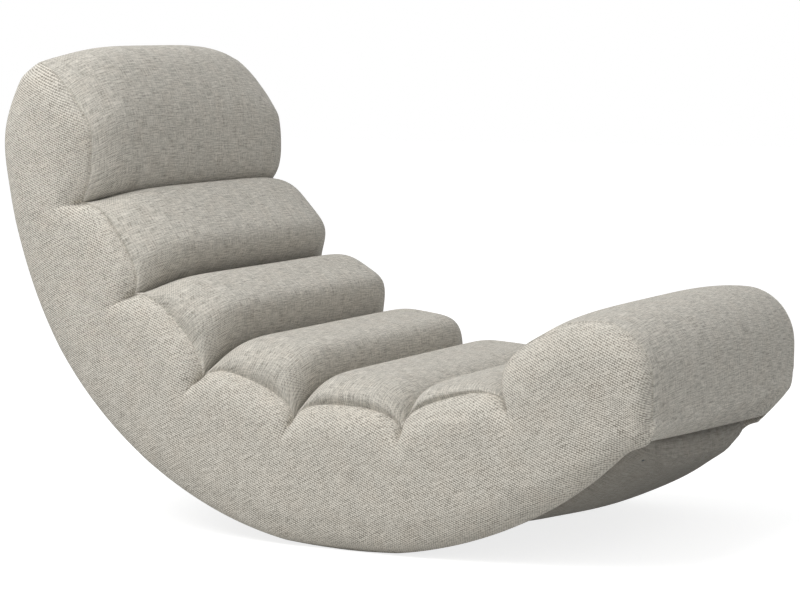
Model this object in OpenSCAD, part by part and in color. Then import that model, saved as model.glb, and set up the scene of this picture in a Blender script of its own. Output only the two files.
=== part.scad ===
// Upholstered floor rocker: a padded crescent that rocks on its own rounded underside.
// Across is X, the head end is +Y, the leg end is -Y, the floor is z = 0.
// Profiles are drawn with the rocking centre over y = 0 and then centred by placed().

/* [Overall] */
// Radius of the rocking underside
rocker_radius = 711; // [680:1:750]
// Width over the two side ribs
frame_width = 626; // [540:2:700]
// Depth of the flat that the padded edge takes where it rests
rest_flat = 0.5; // [0.3:0.1:0.8]

/* [Seat shape] */
// Angle of the first crease, behind the leg roll
knee_angle = -33.4; // [-35:0.1:-31]
// Width of the front seat roll
seat_front_w = 203; // [190:1:220]
// Width of the middle seat roll
seat_mid_w = 208; // [190:1:225]
// Width of the rear seat roll
seat_rear_w = 192; // [175:1:205]
// Width of the lumbar roll
lumbar_w = 195; // [180:1:210]
// Width of the upper back roll
back_w = 187; // [172:1:198]
// Body depth at the knee crease
knee_depth = 185; // [170:1:200]
// Body depth at the two seat creases
seat_depth = 207; // [190:1:220]
// Body depth at the lumbar crease
lumbar_depth = 187; // [172:1:202]
// Body depth at the back crease
back_depth = 184; // [170:1:198]
// Body depth at the shoulder crease
shoulder_depth = 149; // [138:1:162]

/* [Head and leg ends] */
// Angle at which the rocking curve hands over to the back curve
back_from = 78; // [74:1:82]
// Radius of the back curve
back_radius = 334; // [315:1:355]
// Angle at which the back curve hands over to the head curve
head_from = 118; // [114:1:122]
// Radius of the top of the head
head_radius = 93; // [84:1:102]
// Radius of the leg roll seen from the side
leg_radius = 100; // [92:1:108]
// Angle of the leg roll's centre seen from the rocking centre
leg_angle = -49; // [-51:0.1:-47]
// Distance of the leg roll's centre inside the rocking curve
leg_inset = 111; // [104:1:118]
// Radius under the leg roll
chin_radius = 40; // [36:1:46]
// Width of the tuck where the leg roll's cloth is folded in under the board's end
tuck_w = 42; // [34:1:52]

/* [Padding] */
// Rise of the side seam over a roll's chord
seam_rise = 31; // [24:1:38]
// Crown of the front seat roll over its seam, on its leg side
crown_seat_front = 12; // [6:1:30]
// Crown of the front seat roll over its seam, on its head side
crown_seat_front_b = 33; // [15:1:45]
// Crown of the middle seat roll over its seam, on its leg side
crown_seat_mid = 52; // [25:1:65]
// Crown of the middle seat roll over its seam, on its head side
crown_seat_mid_b = 40; // [20:1:55]
// Crown of the rear seat roll over its seam, on its leg side
crown_seat_rear = 72; // [35:1:85]
// Crown of the rear seat roll over its seam, on its head side
crown_seat_rear_b = 42; // [20:1:60]
// Crown of the lumbar roll over its seam, on its leg side
crown_lumbar = 74; // [35:1:85]
// Crown of the lumbar roll over its seam, on its head side
crown_lumbar_b = 42; // [20:1:60]
// Crown of the upper back roll over its seam, on its leg side
crown_back = 72; // [30:1:85]
// Crown of the upper back roll over its seam, on its head side
crown_back_b = 76; // [30:1:85]
// How far the middle creases bow towards the legs at mid-width
crease_bow = 15; // [0:1:24]
// Crown of the head roll over its seam
crown_head = 24; // [10:1:34]
// Crown of the leg roll over its seam
crown_leg = 6; // [3:1:14]
// Thickness of the deck foam under the rolls
deck_foam = 28; // [20:1:34]
// Thickness of the head roll where it wraps over the top
head_wrap = 14; // [14:1:18]
// Thickness of a side pad at its seam
pad_edge = 6; // [4:0.5:9]
// How far a side pad swells out past its seam
pad_swell = 27; // [16:1:34]
// Width over which a side pad's edge rounds off
pad_round = 40; // [26:1:52]
// How far a side pad's lower edge puffs out past the rocking curve
edge_puff = 12; // [4:1:18]
// Thickness of the felt and cloth under a rocking edge
edge_strip_t = 8; // [6:0.5:10]
// Thickness of the underside panel at its sides
under_cloth_t = 3; // [2:0.5:4]
// Crown of the underside panel at mid-width, clear of the floor
under_crown = 26; // [10:1:34]

/* [Frame] */
// Thickness of the plywood ribs
rib_t = 18; // [15:1:22]
// Thickness of the bent rocker board
board_t = 6; // [4:0.5:8]
// Thickness of the skin round the leg roll
skin_t = 4; // [3:0.5:5]
// Thickness of the cross rails
rail_t = 30; // [24:1:40]
// Depth of the cross rails, measured into the body
rail_d = 60; // [45:1:66]
// Depth of the head rail
head_rail_d = 44; // [36:1:50]
// Thickness of the leg rail
leg_rail_t = 42; // [36:1:46]
// Height of the leg rail
leg_rail_h = 72; // [60:1:74]
// Distance of the leg rail's foot above the board
leg_rail_lift = 22; // [14:1:30]
// Air between the skin and the leg rail
leg_rail_gap = 7; // [7:0.5:10]
// Diameter of the lightening holes in the ribs
light_hole_d = 76; // [50:1:84]
// Width of a webbing strap
strap_w = 50; // [40:1:56]
// Thickness of a webbing strap
strap_t = 2; // [1.5:0.1:3]

/* [Ballast] */
// Thickness of each ballast plate
ballast_t = 37; // [24:1:42]
// Height of each ballast plate
ballast_h = 120; // [90:1:128]
// Distance of a plate's ends from the ribs
ballast_end_gap = 8; // [5:1:20]
// Distance of the plates' foot above the board
ballast_lift = 26; // [16:1:34]
// Diameter of the ballast bolts
bolt_d = 10; // [8:1:12]

/* [Fasteners] */
// Core diameter of the screws through the ribs
rib_screw_d = 5; // [4:0.5:6]
// Length of the screws through the ribs
rib_screw_l = 60; // [45:1:70]
// Diameter of the screws through the rocker board
board_screw_d = 4; // [3:0.5:5]
// Length of the screws through the rocker board
board_screw_l = 32; // [24:1:40]
// Angle between a rail and the board screws on each side of it
board_screw_off = 5.5; // [4:0.1:6]
// Radial clearance round every screw, tack and bolt
screw_clear = 0.3; // [0.2:0.05:0.5]
// Clearance round a rail where it crosses the centre rib
rail_clear = 0.3; // [0.2:0.1:0.6]
// Gap between a flat rail and the curved board
seat_gap = 0.2; // [0.1:0.05:0.3]
// Gap between two neighbouring rolls at their crease
crease_gap = 0.3; // [0.2:0.1:0.6]

/* [Hidden] */
$fn = 48;

half_w = frame_width / 2;
zc = rocker_radius - rest_flat;
cover_in = edge_strip_t;
rib_in = edge_strip_t + board_t;
deck_in = deck_foam + strap_t;

function unit(v) = v / norm(v);
function down(a) = [sin(a), -cos(a)];
function polar(a, r) = [0, zc] + r * down(a);

// The outline is a chain of arcs that meet tangentially; a point has a normal angle b
// and an inset d towards the inside.
c_back = polar(back_from, rocker_radius - back_radius);
c_head = c_back + (back_radius - head_radius) * down(head_from);
leg_c = polar(leg_angle, rocker_radius - leg_inset);
leg_y = leg_c[0] - leg_radius;
chin_a = -asin((-leg_y - chin_radius) / (rocker_radius - chin_radius));
c_chin = polar(chin_a, rocker_radius - chin_radius);
function outer(b, d = 0) =
    b < chin_a ? c_chin + (chin_radius - d) * down(b) :
    b <= back_from ? polar(b, rocker_radius - d) :
    b <= head_from ? c_back + (back_radius - d) * down(b) :
    c_head + (head_radius - d) * down(b);

// Crease points, from the knee (0) to the shoulder (5), and the seam's top end (6).
depths = [knee_depth, seat_depth, seat_depth, lumbar_depth, back_depth, shoulder_depth];
widths = [seat_front_w, seat_mid_w, seat_rear_w, lumbar_w, back_w];
function crease_r(j) = rocker_radius - depths[j];
function crease_a(j) = j == 0 ? knee_angle :
    crease_a(j - 1) + 2 * asin(widths[j - 1] / (crease_r(j - 1) + crease_r(j)));
top_a = 188;
creases = concat([for (j = [0:5]) polar(crease_a(j), crease_r(j))], [outer(top_a)]);
// The ramp is the tangent from the knee crease to the leg roll.
ramp_v = creases[0] - leg_c;
leg_ramp = atan2(ramp_v[1], ramp_v[0]) + acos(leg_radius / norm(ramp_v));
ramp_end = leg_c + leg_radius * [cos(leg_ramp), sin(leg_ramp)];

// Directions of the facets that leave each crease, ramp first.
facets = concat([unit(creases[0] - ramp_end)],
    [for (j = [0:5]) unit(creases[j + 1] - creases[j])]);
function left(v) = [-v[1], v[0]];
function half_turn(j) = acos(facets[j] * facets[j + 1]) / 2;
function inward(j) = -unit(left(facets[j]) + left(facets[j + 1]));
function mitre(j, d) = creases[j] + inward(j) * d / cos(half_turn(j));
// The deck stops short of the seam's top end, so that the head roll can wrap over it.
top_stop = head_wrap + 2;
function deck_pt(j, d) = j < 6 ? mitre(j, d) :
    creases[6] - facets[6] * top_stop - left(facets[6]) * d;

// Arc that bulges by rise over a chord, t from 0 to 1.
function bulge(p, q, rise, t) =
    let (w = norm(q - p), f = 2 * atan(2 * rise / w), r = w / 2 / sin(f),
         u = (q - p) / w, s = f * (2 * t - 1))
    p + u * (w / 2 + r * sin(s)) + left(u) * (r * cos(s) - r * cos(f));

// Path round the leg roll: crease, ramp, roll, chin; n_leg + 1 points, inset d.
n_ramp = 2;
n_lobe = 10;
n_chin = 5;
n_leg = n_ramp + n_lobe + n_chin + 1;
function leg_arc(t, d) = let (a = leg_ramp + (180 - leg_ramp) * t)
    leg_c + (leg_radius - d) * [cos(a), sin(a)];
function leg_pt(k, d) =
    k < n_ramp ? mitre(0, d) + (leg_arc(0, d) - mitre(0, d)) * k / n_ramp :
    k <= n_ramp + n_lobe ? leg_arc((k - n_ramp) / n_lobe, d) :
    outer(-90 + (90 + chin_a) * (k - n_ramp - n_lobe - 1) / n_chin, d);
function leg_normal(k) =
    k <= n_ramp ? [cos(leg_ramp), sin(leg_ramp)] :
    k <= n_ramp + n_lobe ?
        (let (a = leg_ramp + (180 - leg_ramp) * (k - n_ramp) / n_lobe) [cos(a), sin(a)]) :
    down(-90 + (90 + chin_a) * (k - n_ramp - n_lobe - 1) / n_chin);

y_mid = (c_back[0] + back_radius + leg_y - crown_leg) / 2;
module placed() translate([0, -y_mid, 0]) children();
module across(x0, x1) translate([x0, 0, 0]) rotate([90, 0, 90])
    linear_extrude(x1 - x0) children();
// Puts a child on the outline at normal angle b; its -Z then points outwards.
module at_outer(b, d) translate([0, outer(b, d)[0], outer(b, d)[1]])
    rotate([b, 0, 0]) children();

// Shell: layers that follow the underside between two insets, all on the same facets.
board_a = -asin((-leg_y - deck_in - skin_t) / (rocker_radius - rib_in));
tuck_a = chin_a + tuck_w / rocker_radius * 180 / PI;
function arc_bs(a) = concat([for (i = [0:40]) a + (back_from - a) * i / 40],
    [for (i = [1:16]) back_from + (head_from - back_from) * i / 16]);
edge_bs = concat([tuck_a], [for (b = arc_bs(board_a)) if (b > tuck_a + 0.3) b]);
module shell(d0, d1, x0, x1, bs) across(x0, x1) let (n = len(bs) - 1)
    polygon(concat([for (b = bs) outer(b, d0)], [for (i = [n:-1:0]) outer(bs[i], d1)]));

// Rails and screws: where they stand
rails = [-30, -8, 14, 36, 58, 80];
head_rail_a = 128;
light_holes = [25, 47, 69, 93];
light_in = rib_in + 52;
// A flat rail stands off a curved board by its corners' sagitta and a small gap.
function arc_r(b) = b <= back_from ? rocker_radius : b <= head_from ? back_radius :
    head_radius;
// How far the middle of one of the board's facets lies inside its arc
function sag(b) = (arc_r(b) - rib_in) * (1 - cos(b <= back_from ?
    (back_from - board_a) / 80 : (head_from - back_from) / 32));
function rail_off(b) = let (r = arc_r(b) - rib_in) r - sqrt(r * r - rail_t * rail_t / 4)
    + sag(b) + seat_gap;
module rail_at(b) at_outer(b, rib_in + rail_off(b)) children();
module rail_box(b, w, depth, grow = 0) rail_at(b)
    translate([-w, -rail_t / 2 - grow, -grow])
    cube([2 * w, rail_t + 2 * grow, depth + 2 * grow]);
leg_rail_y = leg_y + deck_in + skin_t + leg_rail_gap;
function board_z(y) = zc - sqrt(pow(rocker_radius - rib_in, 2) - y * y);
leg_rail_z = board_z(leg_rail_y) + leg_rail_lift;
module leg_rail_box(w, grow = 0) translate([-w, leg_rail_y - grow, leg_rail_z - grow])
    cube([2 * w, leg_rail_t + 2 * grow, leg_rail_h + 2 * grow]);
rail_w = half_w - rib_t;

module screw(d, head, head_h, length) {
    cylinder(h = length, d = d);
    cylinder(h = head_h, d1 = head, d2 = d);
}
// The hole for a screw: the same screw with clearance all round.
module screw_hole(d, head, head_h, length) {
    translate([0, 0, -1]) cylinder(h = length + 2, d = d + 2 * screw_clear);
    translate([0, 0, -1]) cylinder(h = 1.01, d = head + 2 * screw_clear);
    cylinder(h = head_h, d1 = head + 2 * screw_clear, d2 = d + 2 * screw_clear);
}
module both_sides() for (s = [0, 1]) mirror([s, 0, 0]) children();
module at_rib_screws() {
    for (b = rails) for (f = [0.25, 0.75]) rail_at(b)
        translate([half_w, 0, rail_d * f]) rotate([0, -90, 0]) children();
    for (f = [0.3, 0.7]) translate([half_w, leg_rail_y + leg_rail_t / 2,
        leg_rail_z + leg_rail_h * f]) rotate([0, -90, 0]) children();
    rail_at(head_rail_a) translate([half_w, 0, head_rail_d / 2]) rotate([0, -90, 0])
        children();
}
rib_screw_head = 2 * rib_screw_d;
module rib_screw_holes() both_sides() at_rib_screws()
    screw_hole(rib_screw_d, rib_screw_head, 3, rib_screw_l);
rib_mid = half_w - rib_t / 2;
board_screw_at = concat([for (b = rails) for (s = [-1, 1]) b + s * board_screw_off],
    [-44, 103]);
module at_board_screws(x) for (b = board_screw_at) translate([x, 0, 0])
    at_outer(b, cover_in + sag(b)) children();
module board_screw_holes(x) at_board_screws(x)
    screw_hole(board_screw_d, 2 * board_screw_d, 2.4, board_screw_l);

// Webbing: straps lie on the ribs along each facet of the seat.
module on_facet(j, t, d) let (p = deck_pt(j, d) + (deck_pt(j + 1, d) - deck_pt(j, d)) * t)
    translate([0, p[0], p[1]])
    rotate([atan2(facets[j + 1][1], facets[j + 1][0]), 0, 0]) children();
strap_at = [0.27, 0.73];
tack_d = 2.4;
tack_head = 8;
tack_head_t = 0.8;
tack_l = 15;
module tack() {
    translate([0, 0, -tack_head_t]) cylinder(h = tack_head_t, d = tack_head);
    translate([0, 0, -tack_l]) cylinder(h = tack_l, d = tack_d);
}
module tack_hole() {
    translate([0, 0, -tack_head_t]) cylinder(h = 1, d = tack_head + 2 * screw_clear);
    translate([0, 0, -tack_l - 1]) cylinder(h = tack_l + 2, d = tack_d + 2 * screw_clear);
}
module at_tacks(j0, j1) for (j = [j0:j1]) for (t = strap_at) on_facet(j, t, deck_foam)
    for (s = [-1, 1]) translate([s * rib_mid, 0, 0]) children();
module straps(j0, j1) difference() {
    for (j = [j0:j1]) for (t = strap_at) on_facet(j, t, deck_foam)
        translate([-half_w + 1, -strap_w / 2, -strap_t])
        cube([2 * half_w - 2, strap_w, strap_t]);
    at_tacks(j0, j1) tack_hole();
}

// Ribs
head_in = max(rib_in, head_wrap);
corner_b = 166;
module rib_outline() polygon(concat(
    [for (b = arc_bs(board_a)) outer(b, rib_in)],
    [for (i = [0:8]) outer(head_from + 0.4 + (corner_b - head_from) * i / 8, head_in)],
    [for (j = [6:-1:0]) deck_pt(j, deck_in)],
    [for (k = [0:n_ramp + n_lobe]) leg_pt(k, deck_in + skin_t)]));
module light_cuts(x0, x1) for (b = light_holes)
    let (p = outer(b, light_in)) translate([x0, p[0], p[1]]) rotate([0, 90, 0])
    cylinder(h = x1 - x0, d = light_hole_d);
module rib(x0) difference() {
    across(x0, x0 + rib_t) rib_outline();
    light_cuts(x0 - 1, x0 + rib_t + 1);
    rib_screw_holes();
    board_screw_holes(x0 + rib_t / 2);
    at_tacks(0, 5) tack_hole();
}
module side_rib_left() color("BurlyWood") placed() rib(rail_w);
module side_rib_right() color("BurlyWood") placed() rib(-half_w);
module centre_rib() color("BurlyWood") placed() difference() {
    across(-rib_t / 2, rib_t / 2) rib_outline();
    light_cuts(-rib_t, rib_t);
    for (b = rails) rail_box(b, rib_t, rail_d, rail_clear);
    for (b = rails) rail_at(b) translate([-rib_t, -rail_t / 2 - rail_clear, -5])
        cube([2 * rib_t, rail_t + 2 * rail_clear, 6]);
    rail_box(head_rail_a, rib_t, head_rail_d, rail_clear);
    rail_at(head_rail_a) translate([-rib_t, -rail_t / 2 - rail_clear, -5])
        cube([2 * rib_t, rail_t + 2 * rail_clear, 6]);
    leg_rail_box(rib_t, rail_clear);
    board_screw_holes(0);
}

// Cross rails
module cross_rail(b) difference() {
    rail_box(b, rail_w, rail_d);
    rib_screw_holes();
}
module knee_rail() color("Peru") placed() cross_rail(rails[0]);
module seat_rail() color("Peru") placed() cross_rail(rails[1]);
module hip_rail() color("Peru") placed() cross_rail(rails[2]);
module lumbar_rail() color("Peru") placed() cross_rail(rails[3]);
module back_rail() color("Peru") placed() cross_rail(rails[4]);
module shoulder_rail() color("Peru") placed() cross_rail(rails[5]);
module head_rail() color("Peru") placed() difference() {
    rail_box(head_rail_a, rail_w, head_rail_d);
    rib_screw_holes();
}
module leg_rail() color("Peru") placed() difference() {
    leg_rail_box(rail_w);
    rib_screw_holes();
    bolt_holes();
}
module rib_screws() color("DimGray") placed() both_sides() at_rib_screws()
    screw(rib_screw_d, rib_screw_head, 3, rib_screw_l);
module board_screws() color("DimGray") placed() for (x = [-rib_mid, 0, rib_mid])
    at_board_screws(x) screw(board_screw_d, 2 * board_screw_d, 2.4, board_screw_l);

// Rocker board and the skin round the leg roll
module rocker_board() color("Tan") placed() difference() {
    shell(cover_in, rib_in, -half_w, half_w, arc_bs(board_a));
    for (x = [-rib_mid, 0, rib_mid]) board_screw_holes(x);
}
skin_foot = outer(board_a, rib_in)[1];
module leg_skin() color("SaddleBrown") placed() across(-half_w, half_w) polygon(concat(
    [for (k = [0:n_ramp + n_lobe]) leg_pt(k, deck_in)],
    [[leg_arc(1, deck_in)[0], skin_foot], [leg_arc(1, deck_in + skin_t)[0], skin_foot]],
    [for (k = [n_ramp + n_lobe:-1:0]) leg_pt(k, deck_in + skin_t)]));

// Ballast: two plates bolted to the back of the leg rail, clear of the centre rib
plate_y = leg_rail_y + leg_rail_t;
plate_z = board_z(plate_y) + ballast_lift;
plate_x0 = rib_t / 2 + ballast_end_gap;
plate_x1 = rail_w - ballast_end_gap;
bolt_z = leg_rail_z + leg_rail_h / 2;
bolt_x = [plate_x0 + 45, plate_x1 - 45];
bolt_head_h = 5;
washer_t = 2;
nut_t = 8;
bolt_l = leg_rail_t + ballast_t + washer_t + nut_t + 4;
module at_bolts() both_sides() for (x = bolt_x) translate([x, leg_rail_y, bolt_z])
    rotate([-90, 0, 0]) children();
module bolt_holes() at_bolts() translate([0, 0, -1])
    cylinder(h = bolt_l + 2, d = bolt_d + 2 * screw_clear);
module ballast_plate() difference() {
    translate([plate_x0, plate_y, plate_z])
        cube([plate_x1 - plate_x0, ballast_t, ballast_h]);
    bolt_holes();
}
module ballast_plate_left() color("SlateGray") placed() ballast_plate();
module ballast_plate_right() color("SlateGray") placed() mirror([1, 0, 0])
    ballast_plate();
module ballast_bolts() color("Silver") placed() at_bolts() {
    translate([0, 0, -bolt_head_h]) cylinder(h = bolt_head_h, d = 2.2 * bolt_d);
    cylinder(h = bolt_l, d = bolt_d);
}
module ballast_washers() color("Silver") placed() at_bolts()
    translate([0, 0, leg_rail_t + ballast_t]) difference() {
        cylinder(h = washer_t, d = 2.1 * bolt_d);
        translate([0, 0, -1]) cylinder(h = washer_t + 2, d = bolt_d + 2 * screw_clear);
    }
module ballast_nuts() color("Silver") placed() at_bolts()
    translate([0, 0, leg_rail_t + ballast_t + washer_t]) difference() {
        cylinder(h = nut_t, d = 1.9 * bolt_d, $fn = 6);
        translate([0, 0, -1]) cylinder(h = nut_t + 2, d = bolt_d + 2 * screw_clear);
    }

// Webbing and deck foam
module seat_webbing() color("Olive") placed() straps(0, 2);
module back_webbing() color("OliveDrab") placed() straps(3, 5);
module strap_tacks() color("Gray") placed() at_tacks(0, 5) tack();
module deck(j0, j1) across(-half_w, half_w) polygon(concat(
    [for (j = [j0:j1]) deck_pt(j, 0)], [for (j = [j1:-1:j0]) deck_pt(j, deck_foam)]));
module seat_deck() color("Khaki") placed() deck(0, 3);
module back_deck() color("PaleGoldenrod") placed() deck(3, 6);

// Rolls: rings of points from rib to rib. At the ribs a roll has the seam's shape and
// in the middle its full crown.
module loft(rings, caps) let (m = len(rings[0]), n = len(rings)) polyhedron(
    points = [for (r = rings) for (p = r) p],
    faces = concat(
        [for (i = [0:n - 2]) for (k = [0:m - 1]) let (k1 = (k + 1) % m)
            [i * m + k, (i + 1) * m + k, (i + 1) * m + k1]],
        [for (i = [0:n - 2]) for (k = [0:m - 1]) let (k1 = (k + 1) % m)
            [i * m + k, (i + 1) * m + k1, i * m + k1]],
        [for (c = caps) [c[0], c[1], c[2]]],
        [for (c = caps) [for (v = [c[2], c[1], c[0]]) v + (n - 1) * m]]),
    convexity = 8);
function swell(u, e = 6) = sqrt(1 - pow(abs(u), e));
function stations(n) = [for (i = [0:n]) sin(-90 + 180 * i / n)];
function ring3(x, pts) = [for (p = pts) [x, p[0], p[1]]];
n_roll = 12;
// At mid-width the creases bow towards the legs, most in the middle of the seat.
function bowed(j) = creases[j] - facets[j] * crease_bow * sin(36 * j);
module roll(j, crown, crown_b, e = 8) let (
    gap = crease_gap / 2,
    f = facets[j + 1], p = creases[j] + f * gap, q = creases[j + 1] - f * gap,
    bp = bowed(j), bq = bowed(j + 1), g = unit(bq - bp), nrm = left(g), w = norm(bq - bp),
    mp = inward(j), mq = inward(j + 1), lean_p = (mp * g) / (mp * nrm),
    lean_q = -(mq * g) / (mq * nrm),
    side = [for (k = [0:n_roll])
        bulge(p, q, seam_rise, (1 - cos(180 * k / n_roll)) / 2)],
    mid = [for (k = [0:n_roll]) let (t = (1 - cos(180 * k / n_roll)) / 2,
        full = seam_rise + crown + (crown_b - crown) * t,
        h = full * sqrt(1 - pow(abs(2 * t - 1), 4.5)),
        a0 = gap + h * lean_p, a1 = w - gap - h * lean_q)
        bp + g * (a0 + (a1 - a0) * t) + nrm * h],
    us = stations(22))
    loft([for (u = us) ring3(u * half_w,
        [for (k = [0:n_roll]) side[k] + (mid[k] - side[k]) * swell(u, e)])],
        [for (k = [1:n_roll - 1]) [0, k, k + 1]]);
function strip_caps(n) = [for (k = [0:n - 1]) for (t = [0, 1])
    t == 0 ? [k, k + 1, 2 * n - k] : [k, 2 * n - k, 2 * n + 1 - k]];
module seat_front_roll() color("Wheat") placed()
    roll(0, crown_seat_front, crown_seat_front_b);
module seat_middle_roll() color("Bisque") placed()
    roll(1, crown_seat_mid, crown_seat_mid_b);
module seat_rear_roll() color("Wheat") placed() roll(2, crown_seat_rear, crown_seat_rear_b);
module lumbar_roll() color("Bisque") placed() roll(3, crown_lumbar, crown_lumbar_b);
module upper_back_roll() color("Wheat") placed() roll(4, crown_back, crown_back_b, 3.5);

function edge_fade(k, n) = sin(90 * min(1, k / 2, (n - k) / 2));
skin_y = leg_arc(1, deck_in)[0];
module leg_roll() color("Bisque") placed() let (
    n = n_leg,
    side = [for (k = [0:n]) k == 0 ? mitre(0, -2) : leg_pt(k, 0)],
    inner = [for (k = [0:n]) let (p = leg_pt(k, deck_in)) [
        k > n_ramp + n_lobe ? min(p[0], skin_y) : p[0], p[1]]],
    us = stations(14))
    loft([for (u = us) ring3(u * half_w, concat(
        [for (k = [0:n]) side[k] + leg_normal(k) * crown_leg * edge_fade(k, n) * swell(u)],
        [for (k = [n:-1:0]) inner[k]]))], strip_caps(n));

n_face = 9;
n_top = 9;
module head_roll() color("Wheat") placed() let (
    n = n_face + n_top, f = facets[6], nrm = left(f), p = creases[5] + f * crease_gap / 2,
    q = creases[6], w = norm(q - p), top_crown = crown_head / 2,
    full = seam_rise + crown_head,
    side = [for (k = [0:n]) k == 0 ? p - inward(5) * 2 :
        k <= n_face ? bulge(p, q, seam_rise, k / n_face) :
        outer(top_a - (top_a - head_from - 0.3) * (k - n_face) / n_top)],
    mid = [for (k = [0:n]) let (t = k / n_face,
        h = t <= 0.5 ? full * pow(1 - pow(1 - 2 * t, 2.4), 0.5) :
            top_crown + (full - top_crown) * cos(180 * (t - 0.5)))
        k == 0 ? side[0] : k <= n_face ? p + (q - p) * t + nrm * h :
        side[k] + down(top_a - (top_a - head_from) * (k - n_face) / n_top)
            * top_crown * edge_fade(n - k, 2 * n)],
    inner = [for (k = [0:n]) k <= n_face ? p + (deck_pt(6, 0) - p) * k / n_face :
        k == n_face + 1 ? deck_pt(6, deck_in) :
        outer(corner_b - (corner_b - head_from - 0.3) * (k - n_face - 2) / (n_top - 2),
            head_in)],
    us = stations(14))
    loft([for (u = us) ring3(u * half_w, concat(
        [for (k = [0:n]) side[k] + (mid[k] - side[k]) * swell(u, 4)],
        [for (k = [n:-1:0]) inner[k]]))], strip_caps(n));

// Side pads: stations along the body, columns from the rocking edge to the seam.
n_seg = 8;
n_head = 10;
n_st = n_ramp + n_lobe + 5 * n_seg + n_head;
n_front = n_ramp + n_lobe;
function seam_pt(k) =
    k <= n_front ? leg_pt(n_front - k, 0) :
    k <= n_front + 5 * n_seg ? (let (i = k - n_front - 1, j = floor(i / n_seg))
        bulge(creases[j], creases[j + 1], seam_rise, (i - j * n_seg + 1) / n_seg)) :
    bulge(creases[5], creases[6], seam_rise, (k - n_front - 5 * n_seg) / n_head);
function edge_b(k) =
    k <= 5 ? -90 + (90 + chin_a) * k / 5 :
    k <= n_front ? chin_a + (knee_angle - chin_a) * (k - 5) / (n_front - 5) :
    k <= n_front + 5 * n_seg ? (let (i = k - n_front - 1, j = floor(i / n_seg))
        crease_a(j) + (crease_a(j + 1) - crease_a(j)) * (i - j * n_seg + 1) / n_seg) :
    let (i = k - n_front - 5 * n_seg, a = crease_a(5), b = head_from - 5)
    i <= 4 ? a + (b - a) * i / 4 : b + (176 - b) * (i - 4) / (n_head - 4);
// What may swell out past the rocking curve at angle b without reaching the floor.
function floor_free(b, most) = abs(b) > 60 ? most :
    min(most, 0.8 * rocker_radius * (1 / cos(b) - 1));
function edge_pt(k) = let (p = outer(edge_b(k))) [p[0], max(p[1], 0)];
pad_cols = 8;
head_puff = 2;
function col_t(c, w) = let (d = [0, 0.1, 0.4, 1][min(c, pad_cols - c)])
    let (t = min(d * pad_round / w, [0, 0.1, 0.24, 0.38][min(c, pad_cols - c)]))
    c < pad_cols / 2 ? t : 1 - t;
function pad_h(d, k) = let (s = 1 - min(d / pad_round, 1), e = min(k, n_st - k, 4) / 4)
    pad_edge + pad_swell * sqrt(1 - s * s) * sqrt(1 - (1 - e) * (1 - e));
function pad_pt(k, c) = let (p = edge_pt(k), q = seam_pt(k), w = norm(q - p),
    t = c == pad_cols / 2 ? 0.5 : col_t(c, w), d = min(t, 1 - t) * w)
    let (b = edge_b(k), most = b < 0 ? edge_puff : head_puff,
        puff = c < 1 || c > 2 ? 0 : floor_free(b, most) * (c == 1 ? 0.8 : 1))
    let (v = p + (q - p) * t + down(min(b, 120)) * puff) [half_w + pad_h(d, k), v[0], v[1]];
module side_pad() let (m = pad_cols + 1, base = (n_st + 1) * m) polyhedron(
    points = concat(
        [for (k = [0:n_st]) for (c = [0:pad_cols]) pad_pt(k, c)],
        [for (k = [0:n_st]) let (p = edge_pt(k)) [half_w, p[0], p[1]]],
        [for (k = [0:n_st]) let (p = seam_pt(k)) [half_w, p[0], p[1]]]),
    faces = concat(
        [for (k = [0:n_st - 1]) for (c = [0:pad_cols - 1]) let (a = k * m + c)
            [a, a + 1, a + m + 1]],
        [for (k = [0:n_st - 1]) for (c = [0:pad_cols - 1]) let (a = k * m + c)
            [a, a + m + 1, a + m]],
        [for (k = [0:n_st - 1]) let (a = base + k, b = a + n_st + 1) [a, a + 1, b + 1]],
        [for (k = [0:n_st - 1]) let (a = base + k, b = a + n_st + 1) [a, b + 1, b]],
        [for (k = [0:n_st - 1]) let (a = base + k, g = k * m) [a, g, g + m]],
        [for (k = [0:n_st - 1]) let (a = base + k, g = k * m) [a, g + m, a + 1]],
        [for (k = [0:n_st - 1]) let (b = base + n_st + 1 + k, g = k * m + pad_cols)
            [b, g + m, g]],
        [for (k = [0:n_st - 1]) let (b = base + n_st + 1 + k, g = k * m + pad_cols)
            [b, b + 1, g + m]],
        [for (c = [0:pad_cols - 1]) [base + n_st + 1, c + 1, c]],
        [[base + n_st + 1, 0, base]],
        [for (c = [0:pad_cols - 1])
            [base + 2 * n_st + 1, n_st * m + c, n_st * m + c + 1]],
        [[base + 2 * n_st + 1, base + n_st, n_st * m]]),
    convexity = 8);
module side_pad_left() color("AntiqueWhite") placed() side_pad();
module side_pad_right() color("AntiqueWhite") placed() mirror([1, 0, 0]) side_pad();

// What the chair rocks on: a padded edge under each rib, cut flat where it rests
module rocking_edge(x0) difference() {
    shell(0, edge_strip_t, x0, x0 + rib_t, edge_bs);
    translate([x0 - 1, -90, -10]) cube([rib_t + 2, 180, 10]);
}
module rocking_edge_left() color("RosyBrown") placed() rocking_edge(rail_w);
module rocking_edge_right() color("RosyBrown") placed() rocking_edge(-half_w);
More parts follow.
